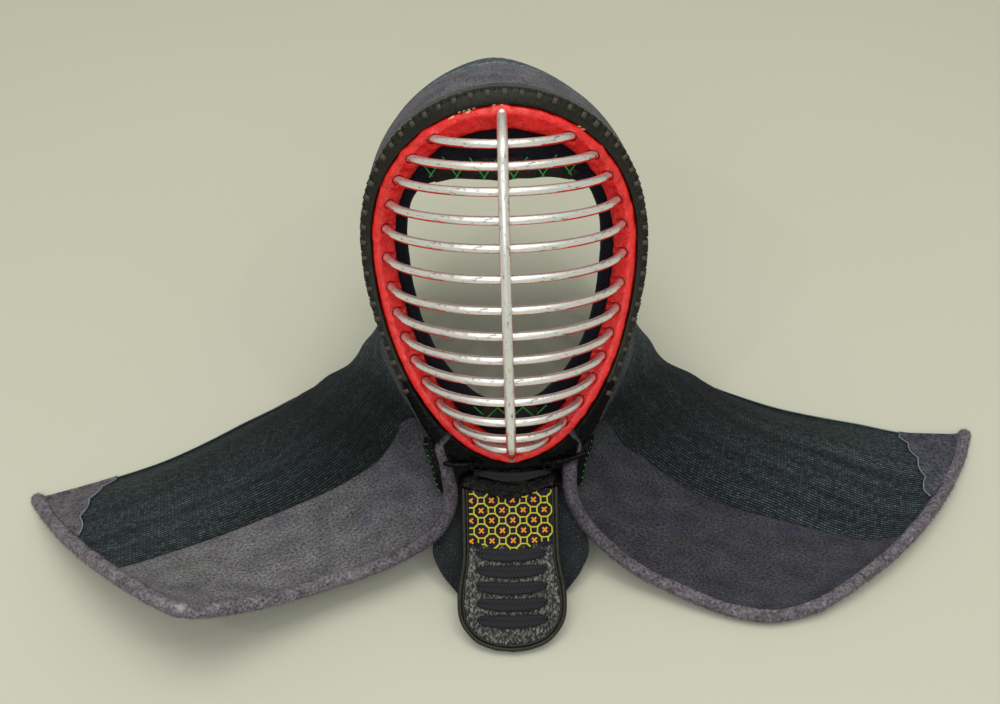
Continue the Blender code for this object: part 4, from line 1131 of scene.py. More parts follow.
@dataclass
class Grill:
    """Fourteen bowed bars and an upright in front of them, cast in one with their joints."""

    face: FaceFrame
    bar: float = 0.0056
    upright: float = 0.0068
    joint: float = 0.0015
    bow: float = 0.026
    tenon: float = 0.0015
    seat_depth: float = 0.10
    ring_band: float = 0.016
    steps: int = 44
    swell: float = 0.00040
    bare_end: float = 0.0045
    bare_foot: float = 0.0120
    # How far inwards on the ring's band the bars' ends sit, as a share of it, how much less the
    # top bars' do, and between which heights that comes in.
    seat: float = 0.64
    top_seat_less: float = 0.18
    top_seat_rise: tuple[float, float] = (0.15, 0.33)
    # The same share for the upright's top and foot, and how far in front the foot sits.
    upright_seats: tuple[float, float] = (0.40, 0.42)
    foot_forward: float = 0.10
    # Where the lacquer that was brushed on from behind ends, as the cosine of the faces' turn.
    lacquer_from: float = 0.36
    bars: tuple[tuple[float, float], ...] = (
        (0.364, 0.54), (0.309, 0.65), (0.247, 0.81), (0.175, 0.92), (0.104, 1.0), (0.022, 1.0),
        (-0.062, 1.0), (-0.134, 0.96), (-0.2035, 0.885), (-0.2665, 0.83), (-0.326, 0.81),
        (-0.385, 0.81), (-0.4395, 0.65), (-0.4825, 0.385))

    @property
    def height(self) -> float:
        """Return the ring's height, which the bars' heights are shares of."""
        return self.face.top + self.face.bottom

    def bar_path(self, height: float, forward: float) -> list[Array]:
        """Return one bar's path in the face frame, from tenon to tenon."""
        z = height * self.height
        rise = z - self.face.widest_line
        degrees = math.degrees(math.acos(rise / (self.face.top if rise >= 0 else self.face.bottom)))
        seat = self.face.point(degrees, 0.0, self.seat_depth * self.face.ring_depth)
        share = self.seat - self.top_seat_less * float(ease(*self.top_seat_rise, height))
        half = seat[0] - share * self.ring_band / self.face.outward(degrees)[0]
        middle = -forward * self.bow
        sag = seat[1] - middle
        radius = (half ** 2 + sag ** 2) / (2 * sag)
        swing = math.asin(min(half / radius, 1.0))
        arc = [vec(radius * math.sin(a), middle + radius * (1 - math.cos(a)), z)
               for a in spread(-swing, swing, self.steps)]
        tail = self.tenon * unit(arc[-1] - arc[-2])
        return [arc[0] + tail * vec(-1, 1, 1), *arc, arc[-1] + tail]

    def upright_path(self) -> list[Array]:
        """Return the upright's path in the face frame, from tenon to tenon."""
        step = (self.bar + self.upright) / 2 - self.joint
        high, low = (share * self.ring_band for share in self.upright_seats)
        top = self.face.point(0.0, -high, self.seat_depth * self.face.ring_depth)
        foot = self.face.point(180.0, -low, -self.foot_forward * self.face.ring_depth)
        crossings = [vec(0.0, -forward * self.bow - step, height * self.height)
                     for height, forward in self.bars]
        knots = [top, *crossings, foot]
        return [top + vec(0.0, 0.3, 1.0) * self.tenon, *smooth(knots, 5),
                foot + vec(0.0, 0.3, -1.0) * self.tenon]

    def seats(self) -> list[tuple[Array, Array]]:
        """Return each end's place in the ring and the direction from there to the middle, at rest."""
        found = []
        for path in (*(self.bar_path(*row) for row in self.bars), self.upright_path()):
            path = path[1:-1]
            found += [(path[0], unit(path[3] - path[0])), (path[-1], unit(path[-4] - path[-1]))]
        return [(self.face.rest(place), self.face.turn(way)) for place, way in found]

    def build(self, metal: Material, red: Material) -> Piece:
        """Build the bars and the upright as one piece, bare in front and lacquered behind."""
        shape = Shape()
        for row in self.bars:
            shape.tube(self.face.rest(self.bar_path(*row)), self.bar / 2 + self.swell, 20)
        path = self.face.rest(self.upright_path())
        shape.tube(path, self.upright / 2 + self.swell, 20, up=(1.0, 0.0, 0.0))
        piece = shape.build("grill_bars", metal)
        piece.data.materials.append(red)
        front = Vector(unit(vec(0.0, -0.533, 0.846)))
        ends = np.array([place for place, _ in self.seats()])
        reach = np.array([self.bare_end] * (len(ends) - 1) + [self.bare_foot])
        for face in piece.data.polygons:
            bare = (np.linalg.norm(ends - np.array(face.center), axis=1) < reach).any()
            if face.normal.dot(front) < self.lacquer_from and not bare:
                face.material_index = 1
        return dress(piece, "duralumin", "grill")


@dataclass
class RedRing:
    """The lacquered ring, with a ragged socket and a slot for each bar's end."""

    face: FaceFrame
    grill: Grill
    band: float = 0.016
    steps: int = 360
    # How much wider than a bar its socket and the slot under it are, how far each reaches, and
    # how deep the slot starts and falls.
    socket: float = 0.0013
    socket_reach: tuple[float, float] = (0.0021, 0.010)
    slot_room: float = 0.0010
    slot: float = 0.0105
    slot_most: float = 0.022
    slot_depth: float = 0.0020
    slot_fall: float = 0.005
    # The lacquer's lumps, as size, height and seed, and how high, how far out and how broad it
    # is piled round each socket.
    lumps: tuple[tuple[float, float, float], ...] = ((0.011, 0.00055, 4.0), (0.0042, 0.00035, 9.0))
    piled: tuple[float, float, float] = (0.0010, 0.0066, 0.0018)
    # Where the lacquer has chipped to its ground coat: the angle from the top and the radius.
    chips: tuple[tuple[float, float], ...] = (
        (-20.0, 0.008), (-14.0, 0.007), (-4.0, 0.004), (34.0, 0.006), (58.0, 0.004))
    section: tuple[tuple[float, float], ...] = (
        (0.0, 0.25), (0.12, 0.03), (0.34, 0.0), (0.55, 0.14), (0.80, 0.30), (1.0, 0.50),
        (1.0, 0.86), (0.85, 1.0), (0.08, 1.0), (0.0, 0.88))

    def cutter(self, finish: Material) -> Piece:
        """Return the tubes that cut the sockets, and a slot from each to the inner edge."""
        shape = Shape()
        down = self.face.turn(vec(0.0, 1.0, 0.0))
        for place, way in self.grill.seats():
            across = way - way.dot(down) * down
            up = down + 0.1 * across
            behind, ahead = self.socket_reach
            shape.tube([place - behind * way, place, place + ahead * way], self.grill.bar / 2 + self.socket,
                       14, up=up)
            low = place + self.slot_depth * down
            lean = max(abs(float(unit(across) @ self.inward(place))), 0.35)
            reach = min(self.slot / lean, self.slot_most)
            shape.tube([low, low + 0.5 * reach * unit(across) + 0.4 * self.slot_fall * down,
                        low + reach * unit(across) + self.slot_fall * down],
                       self.grill.bar / 2 + self.slot_room, 12, up=up)
        return shape.build("sockets", finish)

    def chip_spots(self) -> tuple[Spot, ...]:
        """Return the chips' places on the ring's outer edge, at rest."""
        return tuple(Spot(tuple(self.face.rest(self.face.point(a, -0.0008, 0.0030))), radius)
                     for a, radius in self.chips)

    def inward(self, place: Array) -> Array:
        """Return the direction from a place on the ring to the face's middle."""
        way = self.face.rest(vec(0.0, 0.02, -0.01)) - place
        down = self.face.turn(vec(0.0, 1.0, 0.0))
        return unit(way - way.dot(down) * down)

    def pile(self, ring: Piece) -> None:
        """Pile the lacquer up round each socket, as the brush left it."""
        places = np.array([place for place, _ in self.grill.seats()])
        height, far, broad = self.piled
        mesh = ring.data
        normals = [vertex.normal.copy() for vertex in mesh.vertices]
        for vertex, normal in zip(mesh.vertices, normals):
            away = float(np.linalg.norm(places - np.array(vertex.co), axis=1).min())
            rise = height * math.exp(-((away - far) / broad) ** 2)
            vertex.co += normal * rise * (1.0 + 0.7 * lump(vertex.co, 0.004, 6.0))
        mesh.update()

    def build(self, lacquer: Material) -> Piece:
        """Build the ring, lumpy with lacquer, and cut its sockets."""
        section = loop_through(self.section, 30)
        angles = spread(0.0, 360.0, self.steps)[:-1]
        shape = Shape()
        shape.sweep(self.face.rings(angles, section, self.band, self.face.ring_depth, 0.0, 0.0, True), True)
        ring = shape.build("lacquered_ring", lacquer)
        for size, height, seed in self.lumps:
            roughen(ring, size, height, seed)
        self.pile(ring)
        cutter = self.cutter(lacquer)
        cut = ring.modifiers.new("Sockets", "BOOLEAN")
        cut.operation = "DIFFERENCE"
        cut.solver = "EXACT"
        cut.use_self = True
        cut.object = cutter
        settle(ring)
        bpy.data.objects.remove(cutter, do_unlink=True)
        ring.data.shade_smooth()
        ring.data.set_sharp_from_angle(angle=math.radians(55.0))
        return dress(ring, "red_lacquer", "red_ring")


@dataclass
class Rim:
    """The lacquered rawhide roll round the face, laced to the hood and open at the chin."""

    face: FaceFrame
    width: float = 0.0126
    depth: float = 0.024
    setback: float = 0.001
    end: float = 149.0
    lacing_pitch: float = 0.0116
    # How far below the ring's centre the lacquer turns wet, and how ragged that line is.
    wet_below: float = 0.088
    wet_ragged: float = 0.006
    # Where the lacquer has chipped off: the share across the face, first and last angle.
    worn: tuple[tuple[float, float, float], ...] = (
        (0.95, -42.0, -28.0), (0.95, -20.0, -15.0), (0.93, 13.0, 20.0), (0.03, -17.0, -11.0),
        (0.03, -3.0, 0.0), (0.03, 33.0, 35.0))
    widths: tuple[tuple[float, float], ...] = (
        (0.0, 1.0), (40.0, 0.92), (77.0, 0.70), (98.0, 0.66), (112.0, 0.54), (124.0, 0.54),
        (137.0, 0.80), (149.0, 1.15))
    depths: tuple[tuple[float, float], ...] = ((0.0, 1.0), (126.0, 1.0), (138.0, 0.80), (149.0, 0.50))
    section: tuple[tuple[float, float], ...] = (
        (0.0, 0.12), (0.12, 0.0), (0.75, 0.03), (1.0, 0.22), (1.0, 0.85), (0.80, 1.0), (0.0, 1.0))

    def width_at(self, degrees: float) -> float:
        """Return the width of the rim's face at an angle from the top."""
        return self.width * table_at(self.widths, abs(degrees))[0]

    def depth_at(self, degrees: float) -> float:
        """Return the rim's depth at an angle from the top."""
        return self.depth * table_at(self.depths, abs(degrees))[0]

    def line(self, share: float, proud: float, low: float, high: float, step: float) -> tuple[Array, Array]:
        """Return a line on the rim's face and the directions out of it.

        Args:
            share: Where across the face it runs.
            proud: How far in front of the face.
            low: Its first angle in degrees.
            high: Its last angle in degrees.
            step: The angle between its points.

        Returns:
            Its points and directions, at rest.
        """
        count = max(int((high - low) / step), 2)
        points, ups = [], []
        sink = 0.03 if share < 0.8 else 0.03 + 0.95 * (share - 0.8)
        for a in spread(low, high, count):
            back = self.setback + sink * self.depth_at(a) - proud
            points.append(self.face.point(a, GAP + share * self.width_at(a), back))
            x, z = self.face.outward(a)
            tilt = 0.25 if share < 0.85 else 1.0
            ups.append(unit(vec(tilt * x, -1.0, tilt * z)))
        return self.face.rest(points), self.face.turn(ups)

    def build(self, satin: Material, wet: Material, lace: Material, dark: Material,
              bare: Material) -> None:
        """Build the rim, its lacing and its wet lower ends.

        Args:
            satin: The lacquer of its face.
            wet: The lacquer of its lower ends.
            lace: The laces' rawhide.
            dark: The black painted into the lacing slots as their shade, and the hem's thread.
            bare: What shows where the lacquer is worn off.
        """
        fine = smooth([*self.section, self.section[0]], 4)[:-1]
        shape = Shape()
        angles = spread(-self.end, self.end, 300)
        shape.sweep(self.face.rings(angles, fine, self.width_at, self.depth_at, GAP, self.setback, False))
        rim = shape.build("rim_roll", satin, 60.0)
        roughen(rim, size=0.010, height=0.00030, seed=2.0)
        rim.data.materials.append(wet)
        centre = self.face.rest(vec(0.0, 0.0, 0.0))
        for face in rim.data.polygons:
            down = (np.array(face.center) - centre) @ self.face.turn(vec(0.0, 0.0, 1.0))
            if down < self.wet_ragged * lump(face.center, 0.01, 3.0) - self.wet_below:
                face.material_index = 1
        dress(rim, "black_lacquer", "rim")
        slot = StitchRow(pitch=self.lacing_pitch / 2, length=0.0050, width=0.0028, height=0.0009, seed=7,
                         square=True)
        cross = StitchRow(pitch=self.lacing_pitch, length=0.0042, width=0.0034, height=0.0014, turn=1.5,
                          seed=8, square=True)
        stitch = StitchRow(pitch=0.0060, length=0.0030, width=0.0012, height=0.0006, turn=0.25, seed=9)
        # The name, the thread, its stitches, and the line's share across the face, height and ends.
        for name, thread, stitches, *place in (
                # The slots' black squares are painted shade in the lacing holes.
                ("lacing_slots", dark, slot, 0.88, 0.0004, -132.0, 132.0),
                ("lacing", lace, cross, 0.72, 0.0006, -131.0, 133.0),
                ("lacing_hem", dark, stitch, 0.94, 0.0, -134.0, 134.0)):
            line, ups = self.line(*place, 2.0)
            dress(stitches.run(guide(name, [line], [ups]), thread), "black_lacquer")
        chips = [self.line(share, 0.0002, low, high, 1.0) for share, low, high in self.worn]
        worn = guide("worn_edges", [chip[0] for chip in chips], [chip[1] for chip in chips])
        StitchRow(pitch=0.0032, length=0.0030, width=0.0010, height=0.0006, turn=0.3, seed=5).run(worn, bare)
        dress(worn, "black_lacquer")


# The pads and the chin.

@dataclass
class Pads:
    """The padded ring that the face rests on, and its leather facings with a zigzag thread."""

    face: FaceFrame
    width: float = 0.055
    depth: float = 0.022
    edge: float = 0.003
    steps: int = 44
    facing: float = 0.0012
    facing_gap: float = 0.0005
    widths: tuple[tuple[float, float], ...] = (
        (0.0, 1.0), (25.0, 0.90), (45.0, 0.68), (62.0, 0.46), (90.0, 0.44), (125.0, 0.44),
        (150.0, 0.55), (165.0, 0.66), (180.0, 0.70))
    section: tuple[tuple[float, float], ...] = (
        (0.0, 0.15), (0.15, 0.0), (0.5, -0.02), (0.85, 0.0), (1.0, 0.30), (1.0, 0.70), (0.85, 1.0),
        (0.5, 1.02), (0.15, 1.0), (0.0, 0.85))
    # The zigzags' low points across the face, then half a vee's width and its lowest and
    # highest line.
    vees: tuple[float, ...] = (-0.0516, -0.0328, -0.0132, 0.0077, 0.0286, 0.0481)
    vee_size: tuple[float, float, float] = (0.0098, 0.0670, 0.0822)
    chin_vees: tuple[float, ...] = (-0.0180, 0.0004, 0.0188)
    chin_vee_size: tuple[float, float, float] = (0.0092, -0.1160, -0.1062)

    def width_at(self, degrees: float) -> float:
        """Return how far the pad reaches inwards at an angle from the top."""
        away = abs((degrees + 180.0) % 360.0 - 180.0)
        return self.width * table_at(self.widths, away)[0] - self.edge

    def facing_point(self, degrees: float, share: float, proud: float = 0.0) -> Array:
        """Return a point of a facing's middle surface, in the face frame."""
        back = self.face.ring_depth + GAP - self.facing_gap - self.facing / 2 - proud
        return self.face.point(degrees, -self.edge - share * self.width_at(degrees), back)

    def build_facing(self, name: str, node: str, middle: float, reach: int,
                     shares: tuple[float, float], vees: Sequence[float], size: tuple[float, float, float],
                     leather: Material, green: Material) -> None:
        """Build a facing and its zigzag.

        Args:
            name: The piece's name.
            node: The solid that it stands for.
            middle: The angle of its middle, in degrees.
            reach: How many of the pad's steps it covers to each side.
            shares: How far inwards it starts and ends, as shares of the pad's width.
            vees: Where across the face the zigzag's low points are.
            size: Half a vee's width, and its lowest and highest line.
            leather: The facing's material.
            green: The thread's material.
        """
        angle = reach * 360.0 / self.steps
        grid = [[self.facing_point(a, share) for share in spread(*shares, 8)]
                for a in spread(middle - angle, middle + angle, 8 * reach)]
        shape = Shape()
        shape.sheet(self.face.rest(grid), self.facing)
        piece = shape.build(name, leather)
        roughen(piece, size=0.012, height=0.0003, seed=6.0)
        dress(piece, "black_leather", node)
        samples = np.array([self.facing_point(a, share, self.facing / 2 + 0.0006)
                            for a in spread(middle - 1.2 * angle, middle + 1.2 * angle, 60)
                            for share in spread(shares[0] - 0.1, 1.02, 12)])
        half, low, high = size
        lines = []
        for vee in vees:
            for way in (-1.0, 1.0):
                line = []
                for share in spread(0.0, 1.0, 5):
                    x, z = vee + way * half * (1.10 * share - 0.10), low + (high - low) * share
                    near = np.argmin((samples[:, 0] - x) ** 2 + (samples[:, 2] - z) ** 2)
                    line.append(vec(x, samples[near, 1], z))
                level = float(np.mean([p[1] for p in line]))
                lines.append([vec(p[0], level, p[2]) for p in line])
        thread = guide(name + "_thread", [self.face.rest(line) for line in lines],
                       [vec(0.0, -1.0, 0.0)] * len(lines))
        Thread(radius=0.00050).run(thread, green)
        dress(thread, "embroidery")

    def build(self, cotton: Material, leather: Material,
              green: Material) -> None:
        """Build the padded ring, and both facings.

        Args:
            cotton: The ring's cloth.
            leather: The facings' leather.
            green: The zigzags' thread.
        """
        section = loop_through(self.section, 34)
        back = self.face.ring_depth + GAP
        shape = Shape()
        angles = spread(0.0, 360.0, 240)[:-1]
        rings = self.face.rings(angles, section, self.width_at, self.depth, -self.edge, back, True)
        shape.sweep(rings, True)
        pad = shape.build("padded_ring", cotton, 80.0)
        roughen(pad, size=0.018, height=0.0008, seed=5.0)
        roughen(pad, size=0.006, height=0.00025, seed=8.0)
        dress(pad, "navy_cotton", "face_pad")
        self.build_facing("brow_facing", "forehead_facing", 0.0, 6, (0.66, 0.97), self.vees,
                          self.vee_size, leather, green)
        self.build_facing("jaw_facing", "chin_facing", 180.0, 3, (0.70, 0.97), self.chin_vees,
                          self.chin_vee_size, leather, green)


@dataclass
class Chin:
    """The lacquered chin plate, the braid under it, the collar on the guard and the ties."""

    face: FaceFrame
    guard: GuardFrame
    plate: float = 0.009
    plate_depth: float = 0.0062
    setback: float = 0.001
    braid: float = 0.0080
    braid_forward: float = 0.0045
    braid_half_angle: float = 15.0
    braid_lift: float = 0.0030
    braid_taper: float = 0.6
    # The length in which a strand crosses the braid and comes back, and the plait's height.
    braid_turn: float = 0.0120
    braid_height: float = 0.0040
    tie: float = 0.0045
    tie_front: float = 0.0064
    # The loop at a tie's inner end: how far outside, in front and below, its half width and half
    # height, and its cord's radius. Then the knot's radii.
    loop_at: tuple[float, float, float] = (-0.0030, -0.0032, -0.0010)
    loop: tuple[float, float] = (0.0034, 0.0030)
    loop_cord: float = 0.0011
    knot: tuple[float, float, float] = (0.0014, 0.0020, 0.0014)
    collar_half: float = 0.0395
    collar_thickness: float = 0.0020
    collar_drop: float = 0.1482
    collar_back: float = 0.0174
    collar_fall: float = 0.0130
    collar_side: float = -0.0040
    collar_middle: float = 0.0095
    collar_height: float = 0.0050 + 0.0012 + 2.5 * GAP + 0.0010
    plate_widths: tuple[tuple[float, float], ...] = (
        (151.5, 1.20), (156.0, 1.90), (162.0, 1.55), (170.0, 0.88), (180.0, 0.66))
    ties: dict[Side, tuple[tuple[float, float], ...]] = field(default_factory=lambda: {
        Side.LEFT: ((0.515, 0.905), (0.41, 0.914), (0.305, 0.912)),
        Side.RIGHT: ((0.560, 0.868), (0.43, 0.898), (0.31, 0.914))})

    def plate_at(self, degrees: float) -> float:
        """Return the chin plate's width at an angle from the top."""
        return self.plate * table_at(self.plate_widths, 180.0 - abs(degrees - 180.0))[0]

    def build_plate(self, wet: Material) -> None:
        """Build the chin plate with soft edges."""
        start = self.plate_widths[0][0]
        section = ((0.0, 0.10), (0.10, 0.0), (0.88, 0.12), (1.0, 0.28), (1.0, 1.0), (0.5, 1.0), (0.0, 1.0))
        fine = smooth([*section, section[0]], 3)[:-1]
        shape = Shape()
        shape.sweep(self.face.rings(spread(start, 360.0 - start, 90), fine, self.plate_at, self.plate_depth,
                                    GAP, self.setback, False))
        plate = shape.build("chin_lacquer", wet, 60.0)
        roughen(plate, size=0.009, height=0.00035, seed=3.0)
        dress(plate, "black_lacquer", "chin_plate")

    def build_braid(self, yarn: Material) -> None:
        """Build the crescent braid of five strands."""
        path, ways = [], []
        for a in spread(180.0 - self.braid_half_angle, 180.0 + self.braid_half_angle, 90):
            away = abs(a - 180.0) / self.braid_half_angle
            width = self.braid * (1.0 - self.braid_taper * away ** 2)
            start = 3 * GAP + self.plate_at(a)
            back = self.setback - self.braid_forward + self.braid_lift
            path.append(self.face.point(a, start + width / 2, back))
            x, z = self.face.outward(a)
            ways.append((width, vec(x, 0.0, z)))
        shape = Shape()
        plait(shape, self.face.rest(path), [w for w, _ in ways], self.face.turn([d for _, d in ways]),
              self.face.turn(vec(0.0, -1.0, 0.0)), self.braid_turn, self.braid_height)
        dress(shape.build("chin_plait", yarn, 80.0), "navy_cotton", "chin_braid")

    def build_collar(self, wet: Material) -> None:
        """Build the collar, lumpy and sparkling, with a ragged lower edge."""
        grid = []
        for share in spread(-1.0, 1.0, 110):
            x = share * self.collar_half
            lower = self.collar_side + (self.collar_middle - self.collar_side) * (1 - abs(share))
            here = (x, 0.0, 0.0)
            ragged = lower + 0.0022 * lump(here, 0.0042, 3.0) + 0.0012 * lump(here, 0.0016, 5.0)
            drop = self.collar_drop + self.collar_fall * share ** 2
            knots = [self.face.rest(vec(x, self.collar_back, -drop)),
                     self.guard.rest(vec(x, 0.4 * self.collar_height, self.collar_height)),
                     self.guard.rest(vec(x, -ragged, self.collar_height))]
            grid.append(smooth(knots, 13))
        shape = Shape()
        shape.sheet(grid, self.collar_thickness)
        collar = shape.build("collar_lacquer", wet, 60.0)
        roughen(collar, size=0.0075, height=0.0007, seed=11.0)
        dress(round_edges(collar, width=0.0005, segments=2), "black_lacquer", "chin_collar")

    def build_tie(self, side: Side, wet: Material) -> None:
        """Build a tie with a small loop and knot at its inner end and a drip at its outer end."""
        sign = side.value
        knots = [vec(sign * across * self.face.width / 2, self.tie_front, -down * self.face.bottom)
                 for across, down in self.ties[side]]
        path = smooth(knots, 12)
        sizes = [self.tie / 2 * (0.92 + 0.22 * lump(p, 0.004, 2.0)) for p in path]
        shape = Shape()
        up = self.face.turn(vec(0.0, -1.0, 0.0))
        shape.tube(self.face.rest(path), sizes, 12, up=up)
        middle = knots[-1] + vec(sign, 1.0, 1.0) * self.loop_at
        loop = [middle + vec(self.loop[0] * math.cos(a), 0.0, self.loop[1] * math.sin(a))
                for a in spread(0.0, 1.75 * math.pi, 20)]
        shape.tube(self.face.rest(loop), self.loop_cord, 8, up=up)
        knob = [knots[-1] + vec(sign * 0.0012, -0.0026, z) for z in (-0.0022, 0.0, 0.0022)]
        shape.tube(self.face.rest(knob), self.knot, 10, up=up)
        piece = shape.build("tie_" + side.name.lower(), wet, 80.0)
        roughen(piece, size=0.003, height=0.0003, seed=2.0)
        dress(piece, "black_lacquer", "chin_tie_" + side.name.lower())

    def build(self, wet: Material, yarn: Material) -> None:
        """Build all of the chin."""
        self.build_plate(wet)
        self.build_braid(yarn)
        self.build_collar(wet)
        for side in Side:
            self.build_tie(side, wet)


def plait(shape: Shape, path: Array, widths: Sequence[float], sides: Array, up: Array, turn: float,
          height: float, strands: int = 5) -> None:
    """Add a flat plait of round strands along a path.

    Args:
        shape: What it is added to.
        path: The points of its middle.
        widths: Its width at each point.
        sides: The direction across it at each point.
        up: The direction out of it.
        turn: The length of path in which a strand crosses over and back.
        height: How high it is.
        strands: How many strands it has.
    """
    path = np.asarray(path, dtype=float)
    run = run_of(path)
    for strand in range(strands):
        phase = math.tau * strand / strands
        line, sizes = [], []
        for point, width, side, place in zip(path, widths, sides, run):
            t = math.tau * place / turn + phase
            radius = 0.15 * width
            line.append(point + side * (width / 2 - radius) * math.sin(t)
                        + up * (height / 2 - 0.3 * radius) * 0.6 * math.sin(2 * t))
            sizes.append(radius)
        shape.tube(line, sizes, 8, up=up, flat=0.75)


# The throat guards.

@dataclass
class ThroatGuard:
    """The pebbled leather plate with double piping, plaited ribs and an embroidered panel."""

    guard: GuardFrame
    width: float = 0.0812
    thickness: float = 0.005
    piping: float = 0.0042
    # Each cord of the piping: how far in from the edge, its radius, and how high it sits.
    piping_cords: tuple[tuple[float, float, float], ...] = (
        (0.0014, 0.0017, 0.0006), (0.0040, 0.0010, 0.0003))
    panel_top: float = 0.0010
    panel_length: float = 0.0395
    panel_half: float = 0.0316
    panel_points: int = 5
    panel_point_depth: float = 0.005
    panel_thickness: float = 0.0012
    ribs: int = 5
    rib_first: float = 0.0482
    rib_pitch: float = 0.0122
    rib_half: float = 0.0262
    rib_width: float = 0.0098
    rib_sag: float = 0.0022
    rib_lift: float = 0.0011
    rib_taper: float = 0.93
    # The length in which a strand crosses a rib and comes back, and the plait's height.
    rib_turn: float = 0.0130
    rib_height: float = 0.0034
    net_half_pitch: float = 0.0080
    net_row: float = 0.00765
    net_first: float = 0.0087
    net_offset: float = 0.0019
    net_thread: float = 0.00055
    net_hang: float = 0.0054
    cross_reach: float = 0.0017
    cross_thread: float = 0.00075
    outline_rows: tuple[tuple[float, float], ...] = (
        (0.0, 0.91), (0.23, 0.90), (0.43, 0.905), (0.59, 0.975), (0.72, 1.0), (0.83, 0.935),
        (0.935, 0.685), (0.985, 0.345), (1.0, 0.0))

    def outline(self, inset: float = 0.0, fine: int = 10) -> Array:
        """Return the outline (x, y) from the top left corner round to the top right."""
        left = [vec(-self.width / 2 * half, -self.guard.length * down)
                for down, half in smooth(self.outline_rows, fine)]
        points = np.array(left + [p * vec(-1, 1) for p in reversed(left[:-1])])
        runs = np.gradient(points, axis=0)
        runs /= np.linalg.norm(runs, axis=1, keepdims=True)
        return points + inset * np.stack([-runs[:, 1], runs[:, 0]], axis=1)

    def half_at(self, down: float) -> float:
        """Return half the guard's width at a distance down it."""
        return self.width / 2 * table_at(self.outline_rows, down / self.guard.length)[0]

    def build_plate(self, leather: Material) -> None:
        """Build the plate as a flat sheet with rounded edges."""
        line = self.outline()
        half = len(line) // 2
        left, right = line[:half + 1], line[::-1][:half + 1]
        grid = []
        for a, b in zip(left, right):
            grid.append([vec(*(a + (b - a) * share), 0.0) for share in spread(0.0, 1.0, 40)])
        grid = np.array(grid)
        grid[-1] = grid[-1][0]
        uv = grid[..., :2]
        shape = Shape()
        up = np.broadcast_to(vec(0.0, 0.0, 1.0), grid.shape)
        top = grid + up * self.thickness
        start = shape.add_points(self.guard.rest(grid[:-1]))
        size = (grid.shape[0] - 1) * grid.shape[1]
        under = start + np.arange(size).reshape(grid.shape[0] - 1, -1)
        over = shape.add_points(self.guard.rest(top[:-1])) + np.arange(size).reshape(under.shape)
        tips = shape.add_points(self.guard.rest(np.array([grid[-1][0], top[-1][0]])))
        shape.quads(over, uv[:-1])
        shape.quads(under, uv[:-1], turned=True)
        for edge in (np.s_[0, :], np.s_[:, 0], np.s_[:, -1]):
            side = uv[:-1][edge]
            shape.quads(np.stack([over[edge], under[edge]]), np.stack([side, side + self.thickness]))
        for numbers, tip in ((under, tips), (over, tips + 1)):
            for one, two in zip(numbers[-1][:-1], numbers[-1][1:]):
                shape.cap([one, two, tip])
        for corner in (0, -1):
            shape.cap([under[-1][corner], over[-1][corner], tips + 1, tips])
        plate = shape.build("guard_leather", leather)
        dress(round_edges(plate, width=0.0009, segments=3), "black_leather", "throat_guard")

    def build_piping(self, wet: Material) -> None:
        """Build the thick outer and thin inner piping, with a dark groove between them."""
        top = self.thickness + GAP
        shape = Shape()
        up = self.guard.turn(vec(0.0, 0.0, 1.0))
        for inset, radius, high in self.piping_cords:
            line = [self.guard.rest(vec(*p, top + high)) for p in self.outline(inset)]
            shape.tube(line, radius, 10, up=up, flat=0.8)
        piping = shape.build("piping", wet, 80.0)
        roughen(piping, size=0.009, height=0.00025, seed=2.0)
        dress(piping, "black_lacquer", "throat_piping")

    def teeth(self) -> list[Array]:
        """Return the panel's lower edge, from right to left."""
        foot = self.panel_top + self.panel_length
        return [vec(self.panel_half * (1 - k / self.panel_points), -foot - self.panel_point_depth * (k % 2))
                for k in range(2 * self.panel_points + 1)]

    def build_panel(self, ground: Material) -> None:
        """Build the panel's ground, whose lower edge follows the octagons."""
        teeth = self.teeth()[::-1]
        fine = [teeth[0]]
        for a, b in zip(teeth, teeth[1:]):
            fine += between(a, b, 4)[1:]
        grid = [[vec(p[0], -self.panel_top + (p[1] + self.panel_top) * share, 0.0)
                 for share in spread(0.0, 1.0, 16)] for p in fine]
        lift = self.thickness + GAP + self.panel_thickness / 2
        points = self.guard.rest(np.array(grid) + vec(0.0, 0.0, lift))
        shape = Shape()
        shape.sheet(points, self.panel_thickness)
        cloth = round_edges(shape.build("panel_ground", ground), width=0.0003, segments=2)
        dress(cloth, "embroidery", "embroidered_panel")

    def centres(self, rows: int) -> list[tuple[float, float, int]]:
        """Return the octagons' centres (x, y) and their rows' numbers."""
        found = []
        for row in range(-1, rows):
            y = -self.net_first - row * self.net_row
            for k in range(-5, 6):
                if (k + row) % 2 == 0:
                    found.append((self.net_offset + k * self.net_half_pitch, y, row))
        return found

